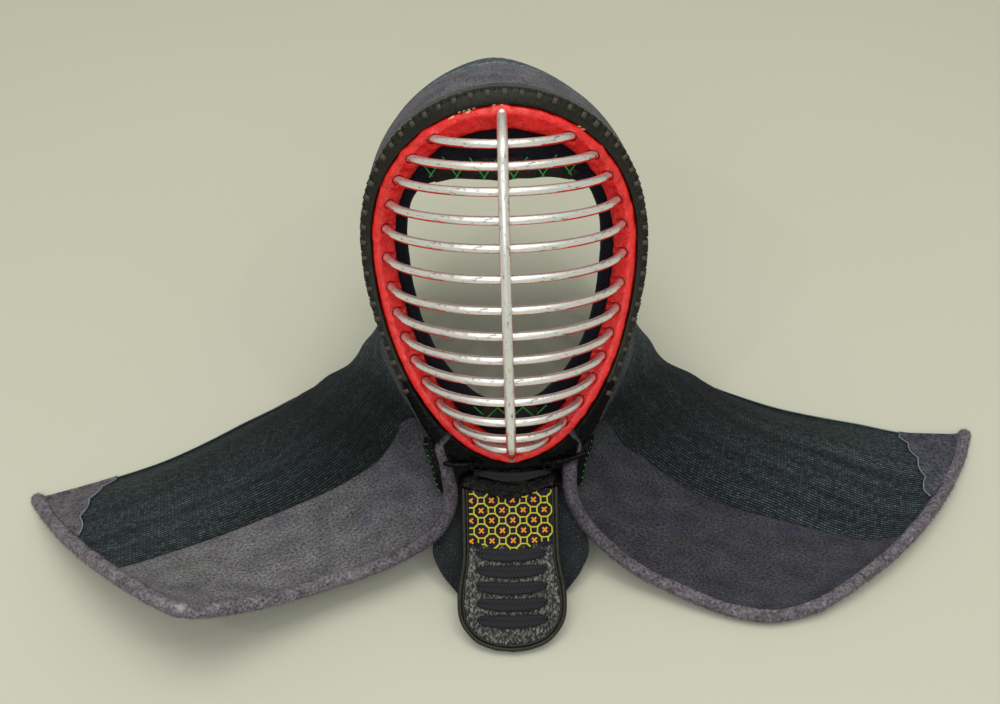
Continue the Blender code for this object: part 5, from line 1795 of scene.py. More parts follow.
    def build_net(self, yellow: Material, orange: Material) -> None:
        """Embroider the net of octagons and squares and the cross in each octagon."""
        high = self.thickness + GAP + self.panel_thickness + 0.0003
        radius = math.hypot(self.net_half_pitch, self.net_row) / 2 / math.cos(math.pi / 8)
        stretch = vec(1.0, self.net_row / self.net_half_pitch)
        edges: dict[tuple[int, ...], tuple[Array, Array]] = {}
        low = -self.panel_top - self.panel_length
        for x, y, row in self.centres(6):
            corners = [vec(x, y) + radius * stretch * vec(math.cos(a), math.sin(a))
                       for a in (math.radians(22.5 + 45.0 * k) for k in range(8))]
            for a, b in zip(corners, corners[1:] + corners[:1]):
                key = tuple(int(v) for v in np.rint((a + b) * 20000))
                edges[key] = (a, b)
        lines = []
        for a, b in edges.values():
            kept = [p for p in between(a, b, 4) if abs(p[0]) < self.panel_half
                    and -self.panel_top > p[1] > low - self.net_hang * float(ease(0.030, 0.006, abs(p[0])))]
            if len(kept) > 1:
                lines.append(self.guard.rest([vec(*p, high) for p in kept]))
        up = self.guard.turn(vec(0.0, 0.0, 1.0))
        net = guide("net", lines, [up] * len(lines))
        Thread(radius=self.net_thread, sides=8).run(net, yellow)
        roughen(net, size=0.0011, height=0.00028, seed=3.0)
        dress(net, "embroidery")
        arms = []
        for x, y, row in self.centres(6):
            if row < 0:
                continue
            for way in (1.0, -1.0):
                arm = self.cross_reach * vec(way, 1.0)
                kept = [p for p in between(vec(x, y) - arm, vec(x, y) + arm, 4)
                        if abs(p[0]) < self.panel_half and p[1] > low - self.panel_point_depth]
                if len(kept) > 1:
                    lift = 0.0005 * (1.5 + way)
                    arms.append(self.guard.rest([vec(*p, high + lift) for p in kept]))
        crosses = guide("crosses", arms, [up] * len(arms))
        Thread(radius=self.cross_thread, sides=8).run(crosses, orange)
        roughen(crosses, size=0.0011, height=0.00022, seed=4.0)
        dress(crosses, "embroidery")

    def build_rib(self, number: int, yarn: Material) -> None:
        """Build one rib as a sagging plait of navy yarn."""
        down = self.rib_first + number * self.rib_pitch
        half = min(self.rib_half, self.half_at(down) - self.piping - 0.001)
        top = self.thickness + GAP
        path, widths = [], []
        for share in spread(-1.0, 1.0, 120):
            size = math.sqrt(1.0 - self.rib_taper * abs(share) ** 4)
            path.append(vec(share * half, -down - self.rib_sag * (1 - share ** 2), top + self.rib_lift))
            widths.append(self.rib_width * size)
        shape = Shape()
        across = np.broadcast_to(self.guard.turn(vec(0.0, 1.0, 0.0)), (len(path), 3))
        plait(shape, self.guard.rest(path), widths, across, self.guard.turn(vec(0.0, 0.0, 1.0)),
              self.rib_turn, self.rib_height)
        name = f"rib_plait_{number + 1}"
        dress(shape.build(name, yarn, 80.0), "navy_cotton", f"throat_rib_{number + 1}")

    def build(self, leather: Material, wet: Material, yarn: Material,
              ground: Material, yellow: Material, orange: Material) -> None:
        """Build the guard with all that is sewn on it.

        Args:
            leather: The plate's leather.
            wet: The piping's lacquer.
            yarn: The ribs' yarn.
            ground: The panel's cloth.
            yellow: The net's silk.
            orange: The crosses' silk.
        """
        self.build_plate(leather)
        self.build_piping(wet)
        self.build_panel(ground)
        self.build_net(yellow, orange)
        for number in range(self.ribs):
            self.build_rib(number, yarn)


@dataclass
class InnerGuard:
    """The padded navy flap behind the throat guard."""

    guard: GuardFrame
    above: float = 0.0204
    behind: float = 0.001
    turn: float = math.radians(8.6)
    width: float = 0.122
    thickness: float = 0.005
    sink: float = 0.30
    outline_rows: tuple[tuple[float, float], ...] = (
        (0.0, 0.74), (0.35, 0.86), (0.62, 0.985), (0.80, 0.865), (0.95, 0.66), (1.0, 0.55))

    def build(self, cotton: Material) -> None:
        """Build the flap as a soft sheet with rounded edges."""
        start = self.guard.rest(vec(0.0, self.above, -self.behind))
        fall = start[2] - self.sink * self.thickness
        end = start - fall * vec(0.0, 1.0 / math.tan(self.guard.tilt + self.turn), 1.0)
        grid, areas = [], []
        for share in spread(0.0, 1.0, 40):
            half = self.width / 2 * table_at(self.outline_rows, share)[0]
            centre = start + (end - start) * share
            grid.append([centre + vec(half * x, 0.0, 0.0) for x in spread(-1.0, 1.0, 44)])
            areas.append(2 * half)
        shape = Shape()
        shape.sheet(grid, self.thickness, floor=0.0)
        piece = shape.build("inner_flap", cotton)
        round_edges(piece, width=0.0011, segments=3)
        dress(piece, "navy_cotton", "inner_throat_guard")


# The hood and what is sewn on it.

@dataclass
class HoodSurface:
    """The hood's middle surface: along counts sections, and across runs 0 to 1 to the rear."""

    face: FaceFrame
    rim: Rim
    thickness: float = 0.007
    seam: float = 0.0020
    rear_sink: float = 0.14
    rest_strip: float = 0.009
    dome_half_width: float = 0.105
    dome_run: float = 0.190
    dome_height: float = 0.120
    dome_lift: float = 0.016
    reach: float = 0.390
    front_reach: float = 0.190
    drop: float = 0.134
    border: float = 0.009
    border_lap: float = 0.0006
    border_start: float = 0.2
    border_corner: float = 0.005
    columns: int = 2
    rows: int = 8
    # How the cloth has settled: the section, then how far its rear edge lies back, its middle
    # sinks and both lean to the side.
    settled: tuple[tuple[float, float, float, float], ...] = (
        (0.0, 0.004, 0.0, 0.0), (1.0, 0.006, 0.0, 0.0), (2.0, 0.009, 0.0, 0.0), (7.0, 0.010, 0.0, 0.0),
        (8.0, 0.007, 0.001, 0.0), (9.0, 0.001, 0.003, 0.0), (10.0, -0.003, 0.008, 0.0),
        (11.0, -0.003, 0.010, 0.0), (12.0, 0.0, 0.002, 0.0), (14.0, 0.0, 0.0, 0.0),
        (15.0, 0.0, 0.0, -0.002), (16.0, 0.0, 0.0, -0.005), (17.0, 0.0, 0.0, -0.006),
        (18.0, 0.0, 0.0, -0.003), (19.0, 0.0, 0.0, -0.001), (20.0, 0.0, 0.002, 0.0),
        (21.0, -0.003, 0.010, 0.0), (22.0, -0.003, 0.009, 0.0), (23.0, 0.002, 0.003, 0.0),
        (24.0, 0.007, 0.0, 0.0), (26.0, 0.009, 0.0, 0.0), (29.0, 0.009, 0.0, 0.0), (30.0, 0.006, 0.0, 0.0),
        (32.0, 0.007, 0.0, 0.0))
    dome_sections: tuple[tuple[float, ...], ...] = (
        (0.0, 0.0, 1.0, 1.0, 1.0), (32.0, 0.48, 1.06, 0.80, 0.80), (62.0, 0.80, 1.10, 0.44, 0.52),
        (90.0, 0.952, 1.17, -0.12, 0.15), (112.0, 1.03, 1.19, -0.72, 0.05))
    jaws: dict[Side, tuple[tuple[float, ...], ...]] = field(default_factory=lambda: {
        Side.LEFT: ((126.0, 0.297, 0.384, 0.92, 0.309, 0.605), (138.0, 0.305, 0.253, 0.895, 0.360, 0.474),
                    (152.0, 0.3205, 0.158, 0.842, 0.410, 0.389)),
        Side.RIGHT: ((126.0, 0.305, 0.368, 0.92, 0.315, 0.580), (138.0, 0.313, 0.242, 0.868, 0.369, 0.463),
                     (152.0, 0.328, 0.147, 0.803, 0.418, 0.374))})
    frees: dict[Side, tuple[tuple[float, ...], ...]] = field(default_factory=lambda: {
        Side.LEFT: ((0.131, -0.257, 1.013, 0.328, 0.074, 0.816, 0.446, 0.326),
                    (0.118, -0.379, 0.868, 0.336, 0.005, 0.776, 0.482, 0.274),
                    (0.118, -0.463, 0.671, 0.354, -0.084, 0.724, 0.528, 0.211),
                    (0.154, -0.553, 0.513, 0.400, -0.189, 0.671, 0.587, 0.137),
                    (0.244, -0.653, 0.434, 0.467, -0.284, 0.632, 0.656, 0.042),
                    (0.349, -0.742, 0.461, 0.554, -0.384, 0.618, 0.744, -0.063),
                    (0.444, -0.837, 0.592, 0.646, -0.479, 0.605, 0.836, -0.142),
                    (0.536, -0.921, 0.789, 0.738, -0.568, 0.605, 0.923, -0.189),
                    (0.597, -0.958, 0.961, 0.815, -0.632, 0.592, 0.997, -0.226)),
        Side.RIGHT: ((0.133, -0.268, 1.013, 0.341, 0.068, 0.763, 0.454, 0.321),
                     (0.1205, -0.368, 0.921, 0.354, -0.005, 0.711, 0.495, 0.274),
                     (0.126, -0.442, 0.697, 0.379, -0.095, 0.645, 0.546, 0.216),
                     (0.164, -0.537, 0.474, 0.431, -0.200, 0.566, 0.610, 0.158),
                     (0.238, -0.653, 0.289, 0.492, -0.289, 0.487, 0.692, 0.105),
                     (0.313, -0.726, 0.184, 0.569, -0.363, 0.408, 0.777, 0.058),
                     (0.413, -0.811, 0.105, 0.672, -0.442, 0.316, 0.862, 0.021),
                     (0.508, -0.847, 0.092, 0.759, -0.489, 0.237, 0.938, 0.005),
                     (0.595, -0.811, 0.125, 0.831, -0.474, 0.197, 1.0, 0.0))})

    def __post_init__(self) -> None:
        """Work out every section, from the left flap's end to the right's."""
        left, right = self.flap(Side.LEFT), self.flap(Side.RIGHT)
        dome = [self.dome(*row) for row in self.dome_sections]
        mirrored = [self.dome(-a, -x, y, z, lift) for a, x, y, z, lift in self.dome_sections[1:]]
        sections = left[::-1] + mirrored[::-1] + dome + right
        self.fronts, self.middles, self.rears = (np.array([s[k] for s in sections]) for k in range(3))
        self.last = len(sections) - 1
        keys = [row[0] for row in self.settled]
        for k in range(self.last + 1):
            back, drop, lean = (float(np.interp(k, keys, [row[n] for row in self.settled]))
                                for n in (1, 2, 3))
            self.rears[k] += vec(lean, back, 0.0)
            self.middles[k] += vec(lean, 0.35 * back, -drop)
        self.free = {Side.LEFT: float(len(self.frees[Side.LEFT]) - 1),
                     Side.RIGHT: float(self.last - len(self.frees[Side.RIGHT]) + 1)}
        angles = [row[0] for row in self.dome_sections]
        ends = {side: [row[0] for row in rows] for side, rows in self.jaws.items()}
        self.angles = [-a for a in (angles + ends[Side.LEFT])[:0:-1]] + angles + ends[Side.RIGHT]
        self.room = self.border / 2 - self.border_lap

    def seam_point(self, degrees: float) -> Array:
        """Return where the hood's edge is sewn behind the rim."""
        out = max(self.rim.width_at(degrees) - self.thickness / 2, GAP)
        back = self.rim.setback + self.rim.depth_at(degrees) + self.seam
        return self.face.rest(self.face.point(degrees, out, back))

    def flap(self, side: Side) -> list[tuple[Array, Array, Array]]:
        """Return a flap's sections, each as its front, middle and rear point."""
        sizes = vec(side.value * self.reach, self.front_reach, self.face.centre_height - self.drop)
        shift = np.array(self.face.shift)
        low = self.rear_sink * self.thickness
        sections = []
        for degrees, *row in self.jaws[side]:
            middle = sizes * row[:3] + shift
            rear = vec(*(sizes[:2] * row[3:5]), low) + shift
            sections.append((self.seam_point(side.value * degrees), middle, rear))
        for row in self.frees[side]:
            front, middle = sizes * row[:3] + shift, sizes * row[3:6] + shift
            sections.append((front, middle, vec(*(sizes[:2] * row[6:8]), low) + shift))
        return sections

    def dome(self, degrees: float, across: float, back: float, high: float,
             lift: float) -> tuple[Array, Array, Array]:
        """Return one section over the head, as its front, middle and rear point.

        Args:
            degrees: Where it is sewn, as an angle on the rim.
            across: Where its rear point lies to the side, as a share of the dome's half width.
            back: How far back that is, as a share of the dome's run.
            high: How high that is, as a share of the dome's height.
            lift: How much of the dome's lift its middle has.
        """
        front = self.seam_point(degrees)
        rear = self.face.rest(vec(across * self.dome_half_width, back * self.dome_run,
                                  high * self.dome_height))
        return front, (front + rear) / 2 + lift * self.dome_lift * self.face.leaned_outward(degrees), rear

    def at(self, along: float, across: float) -> Array:
        """Return a point of the surface."""
        front, middle, rear = (curve_at(line, along) for line in (self.fronts, self.middles, self.rears))
        return (front * (1 - across) * (1 - 2 * across) + middle * 4 * across * (1 - across)
                + rear * across * (2 * across - 1))

    def row_run(self, along: float, across: float) -> Array:
        """Return the direction of a row at a place, times metres per section."""
        before, after = max(along - 0.25, 0.0), min(along + 0.25, self.last)
        return (self.at(after, across) - self.at(before, across)) / (after - before)

    def slant(self, along: float, across: float) -> float:
        """Return the sine of the angle between a section and a row at a place."""
        low, high = max(across - 0.02, 0.0), min(across + 0.02, 1.0)
        section = unit(self.at(along, high) - self.at(along, low))
        return float(np.linalg.norm(np.cross(section, unit(self.row_run(along, across)))))

    def end(self, side: Side) -> float:
        """Return the place of a flap's end."""
        return 0.0 if side is Side.LEFT else float(self.last)

    def share_of(self, along: float, across: float, distance: float) -> float:
        """Return the share of a section within a distance of its front or rear edge."""
        step = 0.01 if across < 0.5 else -0.01
        run = float(np.linalg.norm(self.at(along, across + step) - self.at(along, across)))
        return distance * abs(step) / (run * self.slant(along, across))

    def free_share(self, along: float) -> float:
        """Return 1 where the front edge is free and bordered, and 0 where the rim holds it."""
        away = max(self.free[Side.LEFT] + 1.0 - along, along - self.free[Side.RIGHT] + 1.0, 0.0)
        return min(2.0 * away, 1.0)

    def rim_angle(self, along: float) -> float:
        """Return the angle on the rim where a section is sewn, in degrees."""
        return float(curve_at([[a] for a in self.angles], along - self.free[Side.LEFT] - 1.0)[0])

    def inset(self, along: float, across: float) -> Array:
        """Return how far a point moves in to leave a border's room along the free edges."""
        run = unit(self.row_run(along, 0.0))
        section = self.at(along, 0.02) - self.at(along, 0.0)
        front = self.free_share(along) * unit(section - section.dot(run) * run)
        if 0.0 < along < self.last:
            return (1 - across) * self.room * front
        side = Side.LEFT if along == 0.0 else Side.RIGHT
        edge = unit(self.at(along, min(across + 0.02, 1.0)) - self.at(along, max(across - 0.02, 0.0)))
        row = self.at(along - 0.1 * side.value, across) - self.at(along, across)
        end = unit(row - row.dot(edge) * edge)
        if across > 0.0:
            return self.room * end
        return self.room * (front + end) / (1 + front.dot(end))

    def frame_rows(self) -> tuple[Array, Array]:
        """Return the solid's own rows of points, and the share where each row's flat strip starts."""
        rows, strips = [], []
        for k in range(self.last * self.columns + 1):
            place = k / self.columns
            strip = 1.0 - self.share_of(place, 1.0, self.rest_strip)
            row = [self.at(place, across) + self.inset(place, across)
                   for across in (*spread(0.0, strip, self.rows), 1.0)]
            if row[-1][2] < self.thickness / 2:
                row[-2][2] = row[-1][2]
            rows.append(row)
            strips.append(strip)
        return np.array(rows), np.array(strips)

    @cached_property
    def built(self) -> tuple[Array, Array]:
        """Return the sheet's rows of points and their flat strips."""
        return self.frame_rows()

    def laid(self, along: float, across: float) -> Array:
        """Return a point of the sheet as it is built, with its flat strip."""
        rows, strips = self.built
        place = min(max(along * self.columns, 0.0), len(rows) - 1.0)
        strip = float(np.interp(place, np.arange(len(strips)), strips))
        across = min(max(across, 0.0), 1.0)
        step = self.rows * across / strip if across <= strip else self.rows + (across - strip) / (1 - strip)
        return curve_at(curve_at(rows, place), step)

    def border_path(self, side: Side) -> list[Array]:
        """Return a border's path, from the chin round the front corner to the rear corner."""
        end, start, sign = self.end(side), self.free[side], side.value
        count = round(abs(end - start) * self.columns)
        front = [self.at(start + sign * self.border_start, 0.0)]
        front += [self.at(start + sign * k / self.columns, 0.0) for k in range(1, count)]
        corner = self.at(end, 0.0)
        edge = [self.at(end, across) for across in spread(0.0, 1.0, self.rows)[1:]]
        before = corner + self.border_corner * unit(front[-1] - corner)
        after = corner + self.border_corner * unit(edge[0] - corner)
        return [*front, before, 0.25 * before + 0.5 * corner + 0.25 * after, after, *edge]


@dataclass
class Hood:
    """The quilted sheet, with the raised woolly band along its front edge."""

    surface: HoodSurface
    fine_along: int = 5
    fine_across: int = 6
    band_relief: float = 0.0006
    band_edge: float = 0.003
    # The place along the hood, and how far across the smooth band reaches there.
    band: tuple[tuple[float, float], ...] = (
        (0.0, 0.317), (2.04, 0.30), (3.71, 0.30), (5.04, 0.283), (6.58, 0.233), (9.46, 0.083),
        (12.0, 0.25), (14.0, 0.268), (16.0, 0.258), (18.0, 0.268), (20.0, 0.25), (22.5, 0.09),
        (24.0, 0.133), (25.08, 0.183), (26.17, 0.25), (27.33, 0.283), (28.88, 0.333), (29.79, 0.367),
        (30.5, 0.383), (32.0, 0.40))

    def build(self, cotton: Material, sewn: Sequence[str]) -> Piece:
        """Build the sheet.

        Args:
            cotton: Its material.
            sewn: Not used.

        Returns:
            The hood.
        """
        surface = self.surface
        rows, strips = surface.frame_rows()
        count = (len(rows) - 1) * self.fine_along
        places = [k / self.fine_along for k in range(count + 1)]
        stations = [k / self.fine_across for k in range(8 * self.fine_across)] + [8.0, 8.5, 9.0]
        dense = np.array([curve_at(rows, place) for place in places])
        grid = np.stack([curve_at(np.swapaxes(dense, 0, 1), q) for q in stations], axis=1)
        strip = np.interp(places, np.arange(len(strips)), strips)[:, None]
        q = np.array(stations)[None, :]
        across = np.where(q <= 8.0, q / 8.0 * strip, strip + (q - 8.0) * (1 - strip))
        along = np.array(places) / surface.columns
        normals = normals_of(grid)
        for i, place in enumerate(along):
            if surface.free_share(float(place)) > 0.0:
                continue
            out = surface.face.leaned_outward(surface.rim_angle(float(place)))
            for j in range(self.fine_across):
                share = j / self.fine_across
                own = normals[i, j] * math.copysign(1.0, float(out.dot(normals[i, j])))
                blended = unit(out * (1 - share) + own * share)
                normals[i, j] = blended * math.copysign(1.0, float(blended.dot(normals[i, j])))
        reach = np.interp(along, [r[0] for r in self.band], [r[1] for r in self.band])[:, None]
        widths = np.linalg.norm(np.diff(grid, axis=1), axis=2)
        rear = np.cumsum(widths[:, ::-1], axis=1)[:, ::-1]
        rear = np.concatenate([rear, np.zeros((len(grid), 1))], axis=1)
        section = rear[:, :1]
        inside = (reach - across) * section
        band = ease(-0.5 * self.band_edge, 0.5 * self.band_edge, inside)
        run = run_of(grid[:, len(stations) // 2])
        uv = np.stack([np.broadcast_to(run[:, None], rear.shape), rear], -1)
        marks = {"reach": inside, "along": np.broadcast_to((along / surface.last)[:, None], rear.shape)}
        shape = Shape()
        shape.sheet(grid, surface.thickness, floor=0.0, normals=normals,
                    relief=band * self.band_relief - 0.0002, uv=uv, marks=marks)
        hood = shape.build("quilted_hood", cotton)
        round_edges(hood, width=0.0026, segments=4)
        dress(hood, "quilted_cotton", "hood")
        return hood


@dataclass
class Trim:
    """What is sewn on a flap: its suede border, corner patch and leather tongue."""

    surface: HoodSurface
    side: Side
    # How much plumper than its solid the border is, and how much more at the chin.
    plump: float = 0.0009
    plump_start: float = 0.0016
    patch_thickness: float = 0.0012
    # The radius of the patch's rear edge, the hem's height, and where it ends in its seam's groove.
    patch_edge: float = 0.0030
    hem: float = 0.0009
    hem_end: tuple[float, float] = (0.0062, 0.0072)
    groove: float = 0.0011
    groove_at: float = 0.0076
    groove_width: float = 0.0009
    scallops: int = 4
    scallop: float = 0.0026
    # Shares across the hood, from the rear edge inwards, and how many sections from the
    # flap's end the patch reaches there.
    patch_edges: dict[Side, tuple[tuple[float, float], ...]] = field(default_factory=lambda: {
        Side.LEFT: ((1.0, 2.0), (0.85, 1.21), (0.75, 0.71), (0.633, 0.28), (0.60, 0.16)),
        Side.RIGHT: ((1.0, 2.1), (0.917, 1.75), (0.767, 1.0), (0.667, 0.58), (0.62, 0.25))})
    sewn_gap: float = 0.0008
    tongue_width: float = 0.0075
    tongue_thickness: float = 0.0018

    @property
    def word(self) -> str:
        """Return the side's name for the pieces."""
        return self.side.name.lower()

    def build_border(self, suede: Material) -> str:
        """Build the rolled border with its nap, and return its name."""
        path = self.surface.border_path(self.side)
        path = [path[0] + vec(-0.005 * self.side.value, 0.006, 0.010), *path]
        fine = smooth(path, 5)
        sizes = [self.surface.border / 2 + self.plump + self.plump_start * float(ease(12.0, 2.0, k))
                 for k in range(len(fine))]
        shape = Shape()
        shape.tube(fine, sizes, 20)
        border = shape.build("suede_border_" + self.word, suede, 80.0)
        roughen(border, size=0.012, height=0.0005, seed=2.0)
        roughen(border, size=0.004, height=0.0003, seed=4.0)
        lift_to_ground(border)
        Nap(density=500000.0, length=0.0021, width=0.00013).run(border, suede)
        lift_to_ground(border)
        dress(border, "suede", "flap_border_" + self.word)
        return border.name

    def patch_grid(self) -> Array:
        """Return the patch's points on the hood: rows from the rear edge to the tip, columns inwards."""
        surface = self.surface
        end = surface.end(self.side)
        edge = self.patch_edges[self.side]
        shares = [row[0] for row in edge][::-1]
        reaches = [row[1] for row in edge][::-1]
        tip, sign = shares[0], self.side.value
        shares_run = [1.0 - place * (1.0 - tip) for place in spread(0.0, 1.0, 72)]
        edges = [(end - sign * float(np.interp(across, shares, reaches)), across) for across in shares_run]
        points = [surface.laid(*place) for place in edges]
        lengths = run_of(points)
        turns = math.pi * self.scallops * lengths / lengths[-1]
        grid = []
        for k, (along, across) in enumerate(edges):
            run = unit(points[min(k + 1, len(edges) - 1)] - points[max(k - 1, 0)])
            near, far = (surface.laid(along - step * sign, across) for step in (0.05, -0.05))
            row = (near - far) / 0.1
            column = (surface.laid(along, across) - surface.laid(along, across - 0.01)) / 0.01
            out = np.cross(run, np.cross(row, column))
            out = unit(out) * math.copysign(1.0, float(out.dot(row)))
            bulge = self.scallop * (abs(math.sin(turns[k])) - 0.5)
            inner = along - sign * bulge * out.dot(row) / row.dot(row)
            deeper = across + bulge * out.dot(column) / column.dot(column)
            grid.append([surface.laid(end + (inner - end) * share, across + (deeper - across) * share)
                         for share in spread(0.0, 1.0, 20)])
        return np.array(grid)

    def build_patch(self, suede: Material, thread: Material) -> list[str]:
        """Build the scalloped patch and the thread along its edge, and return their names."""
        surface = self.surface
        grid = self.patch_grid()
        away = run_of(grid[:, 10])[:, None, None]
        normals = normals_of(grid)
        normals *= math.copysign(1.0, float(normals[30, 10, 2]))
        edge = self.patch_edge
        dip = edge - np.sqrt(np.maximum(edge ** 2 - np.maximum(edge - away, 0.0) ** 2, 0.0))
        hem = (self.hem * (1.0 - ease(*self.hem_end, away))
               - self.groove * np.exp(-((away - self.groove_at) / self.groove_width) ** 2))
        grid = grid + normals * (surface.thickness / 2 + self.patch_thickness / 2 + 0.0002 + hem - dip)
        shape = Shape()
        shape.sheet(grid, self.patch_thickness, floor=0.0, normals=normals)
        patch = shape.build("corner_patch_suede_" + self.word, suede)
        roughen(patch, size=0.010, height=0.0004, seed=3.0)
        lift_to_ground(patch)
        dress(patch, "suede", "corner_patch_" + self.word)
        line = grid[2:, -1] + normals[2:, -1] * (self.patch_thickness / 2)
        edging = guide("patch_edging_" + self.word, [line], [normals[2:, -1]])
        Thread(radius=0.00050).run(edging, thread)
        dress(edging, "suede")
        return [patch.name, edging.name]

    def build_tongue(self, leather: Material, green: Material) -> list[str]:
        """Build the tongue and its stitches, and return their names."""
        surface = self.surface
        start, sign = surface.free[self.side], self.side.value
        grid = []
        for share in spread(0.05, 1.55, 40):
            along = start + sign * share
            reach = self.tongue_width * (1.0 if share < 0.7 else 1.0 - 0.65 * (share - 0.7))
            grid.append([surface.at(along, surface.share_of(along, 0.0, surface.room + reach * x))
                         for x in spread(0.0, 1.0, 6)])
        grid = np.array(grid)
        lift = surface.thickness / 2 + self.sewn_gap + self.tongue_thickness / 2
        shape = Shape()
        shape.sheet(grid, self.tongue_thickness, lift=sign * lift)
        tongue = shape.build("tongue_" + self.word, leather)
        roughen(tongue, size=0.006, height=0.0003, seed=3.0)
        dress(round_edges(tongue, width=0.0006, segments=3), "black_leather", "rim_tongue_" + self.word)
        ups = normals_of(grid) * sign
        line = grid[:, -2] + ups[:, -2] * (lift + self.tongue_thickness / 2)
        stitches = guide("tongue_stitches_" + self.word, [line[8:]], [ups[8:, -2]])
        StitchRow(pitch=0.0046, length=0.0017, width=0.0006, height=0.0006, turn=0.6,
                  seed=4).run(stitches, green)
        dress(stitches, "embroidery")
        return [tongue.name, stitches.name]


# The studio.

@dataclass(frozen=True)
class Lamp:
    """A softbox that faces the mask: where it hangs, its size, power in watts and colour."""

    name: str
    place: tuple[float, float, float]
    size: tuple[float, float]
    power: float
    colour: str = "#ffffff"

    def hang(self, target: tuple[float, float, float]) -> None:
        """Hang the lamp, turned to the target."""
        data = bpy.data.lights.new(self.name, "AREA")
        data.shape = "RECTANGLE"
        data.size, data.size_y = self.size
        data.energy = self.power
        data.color = linear(self.colour)[:3]
        lamp = bpy.data.objects.new(self.name, data)
        lamp.location = self.place
        lamp.rotation_euler = (Vector(target) - Vector(self.place)).to_track_quat("-Z", "Y").to_euler()
        bpy.context.scene.collection.objects.link(lamp)


@dataclass(frozen=True)
class Studio:
    """A pale ground, soft light and the photograph's camera."""

    lens: float = 40.6
    elevation: float = math.radians(49.0)
    roll: float = math.radians(1.2)
    place: tuple[float, float, float] = (-0.0052, -0.5854, 0.7794)
    floor_half: float = 4.0
    sky: str = "#e6e6da"
    sky_strength: float = 0.58
    target: tuple[float, float, float] = (0.0, 0.0, 0.15)
    # Two broad softboxes, and two small ones for the sparkle on the lacquer.
    lamps: tuple[Lamp, ...] = (
        Lamp("overhead", (0.0, 0.05, 2.8), (2.2, 1.5), 31.0, "#fffef6"),
        Lamp("front", (-0.2, -1.9, 1.9), (2.0, 1.2), 12.0, "#f8faff"),
        Lamp("sparkle left", (-0.9, -0.7, 1.5), (0.02, 0.02), 1.3),
        Lamp("sparkle right", (0.8, -0.5, 1.6), (0.02, 0.02), 1.1))

    def add_floor(self, cloth: Material) -> None:
        """Lay the ground under the mask."""
        mesh = bpy.data.meshes.new("ground")
        half = self.floor_half
        mesh.from_pydata([(-half, -half, 0), (half, -half, 0), (half, half, 0), (-half, half, 0)], [],
                         [(0, 1, 2, 3)])
        mesh.materials.append(cloth)
        floor = bpy.data.objects.new("ground", mesh)
        bpy.context.scene.collection.objects.link(floor)

    def add_camera(self) -> None:
        """Set the camera where the photograph was taken from."""
        data = bpy.data.cameras.new("camera")
        data.lens = self.lens
        data.sensor_width = 36.0
        camera = bpy.data.objects.new("camera", data)
        look = Vector((0.0, math.cos(self.elevation), -math.sin(self.elevation)))
        side = Vector((1.0, 0.0, 0.0))
        over = side.cross(look)
        right = side * math.cos(self.roll) - over * math.sin(self.roll)
        up = over * math.cos(self.roll) + side * math.sin(self.roll)
        turn = Matrix((right, up, -look)).transposed().to_4x4()
        camera.matrix_world = Matrix.Translation(self.place) @ turn
        bpy.context.scene.collection.objects.link(camera)
        bpy.context.scene.camera = camera

    def build(self, cloth: Material) -> None:
        """Set the whole studio."""
        scene = bpy.context.scene
        scene.view_settings.view_transform = "Standard"
        world = bpy.data.worlds.new("studio")
        world.use_nodes = True
        feed(world.node_tree.nodes["Background"], {"Color": linear(self.sky), "Strength": self.sky_strength})
        scene.world = world
        self.add_camera()
        self.add_floor(cloth)
        for lamp in self.lamps:
            lamp.hang(self.target)


def row_shift(face: FaceFrame) -> tuple[float, float, float]:
    """Return how far the row's frame is moved from the design's own, from two solids' boxes."""
    low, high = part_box("face_pad")
    guard_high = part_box("throat_guard")[1]
    return (low.x + high.x) / 2, guard_high.y - float(GuardFrame(face).top[1]), 0.0


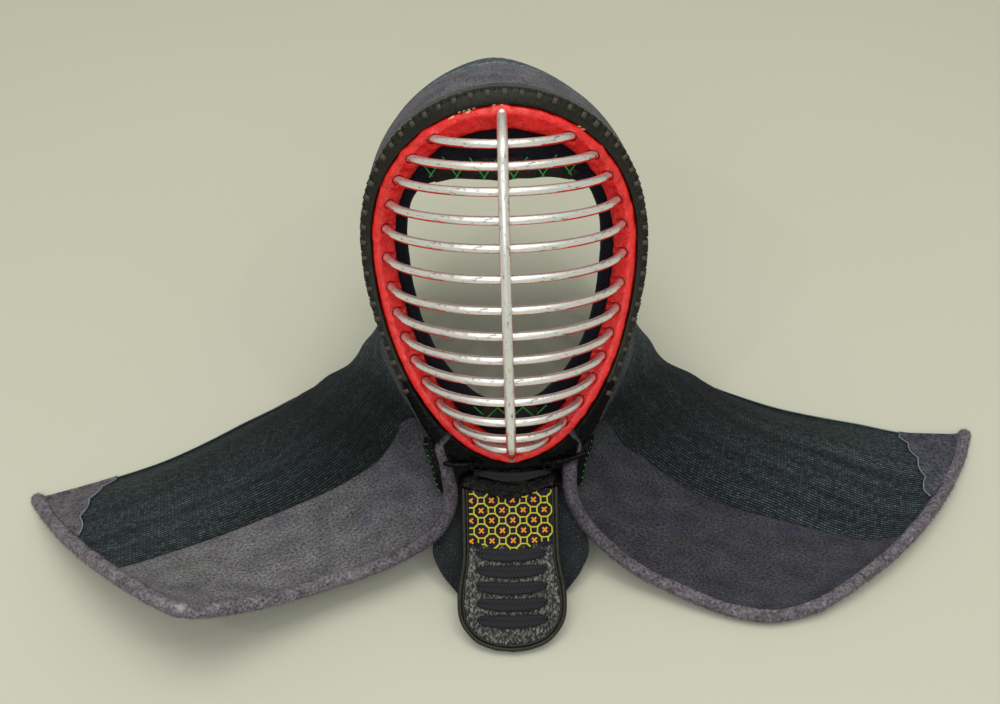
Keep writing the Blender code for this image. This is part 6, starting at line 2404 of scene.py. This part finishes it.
def main() -> None:
    """Build the mask's pieces in order."""
    logging.basicConfig(level=logging.INFO, format="%(name)s: %(message)s", stream=sys.stdout)
    face = FaceFrame(shift=row_shift(FaceFrame()))
    guard = GuardFrame(face)
    Studio().build(GroundCloth("pale ground cloth").make())

    rim = Rim(face)
    surface = HoodSurface(face, rim)
    corners = {side: surface.at(surface.end(side), 0.0) for side in Side}
    worn = (Spot(tuple(corners[Side.LEFT] + vec(0.004, 0.002, 0.004)), 0.020),
            Spot(tuple(corners[Side.RIGHT] + vec(-0.010, 0.0, 0.004)), 0.016))
    grill = Grill(face)
    ring = RedRing(face, grill)
    red = RedLacquer("vermilion lacquer", chips=ring.chip_spots()).make()
    satin = BlackLacquer("satin black lacquer").make()
    wet = BlackLacquer("wet black lacquer", gloss=Gloss.WET, colour="#060606", scuff="#101010").make()
    metal = Duralumin("polished duralumin").make()
    cotton = NavyCotton("navy cotton").make()
    flap_cloth = NavyCotton("quilted flap cloth", colour="#23262a", lint="#858b8c").make()
    ground = NavyCotton("panel cloth", colour="#1c1f29", lint="#6d7182").make()
    quilt = QuiltedCotton("quilted indigo cotton").make()
    suede = Suede("indigo suede", worn=worn).make()
    # The right patch is painted darker than the left, as shade.
    patch_suede = Suede("corner suede", left="#5c5a60", right="#454650").make()
    # Their top colours are painted highlight on the pebbles.
    leather = PebbledLeather("pebbled black leather", pebble=0.00125, colour="#17181a", top="#8c8c84").make()
    strap = PebbledLeather("plain black leather", colour="#18191a", top="#2c2d2d", pucker=1.0).make()
    braid = Yarn("navy braid", colour="#12141f", sheen=0.04).make()
    green = Yarn("green thread", colour="#27b04c", sheen=0.3).make()
    yellow = Yarn("yellow silk", colour="#d3c634", sheen=0.15, twist=0.0008).make()
    orange = Yarn("orange silk", colour="#f7a029", sheen=0.15, twist=0.0008).make()
    slate = Yarn("slate thread", colour="#7f8798").make()
    lace = Yarn("rawhide lace", colour="#48443a", sheen=0.0).make()
    # Black for the painted shade in the lacing slots, and for the hem's thread.
    dark = Yarn("black lace", colour="#050505", sheen=0.0).make()
    bare = Yarn("bare rawhide", colour="#cdb891", sheen=0.0).make()

    ring.build(red)
    grill.build(metal, red)
    rim.build(satin, wet, lace, dark, bare)
    Pads(face).build(cotton, strap, green)
    Chin(face, guard).build(wet, braid)
    ThroatGuard(guard).build(leather, satin, braid, ground, yellow, orange)
    InnerGuard(guard).build(flap_cloth)
    sewn: list[str] = []
    for side in Side:
        trim = Trim(surface, side)
        sewn.append(trim.build_border(suede))
        sewn += trim.build_patch(patch_suede, slate)
        sewn += trim.build_tongue(wet, green)
    Hood(surface).build(quilt, sewn)


if __name__ == "__main__":
    main()
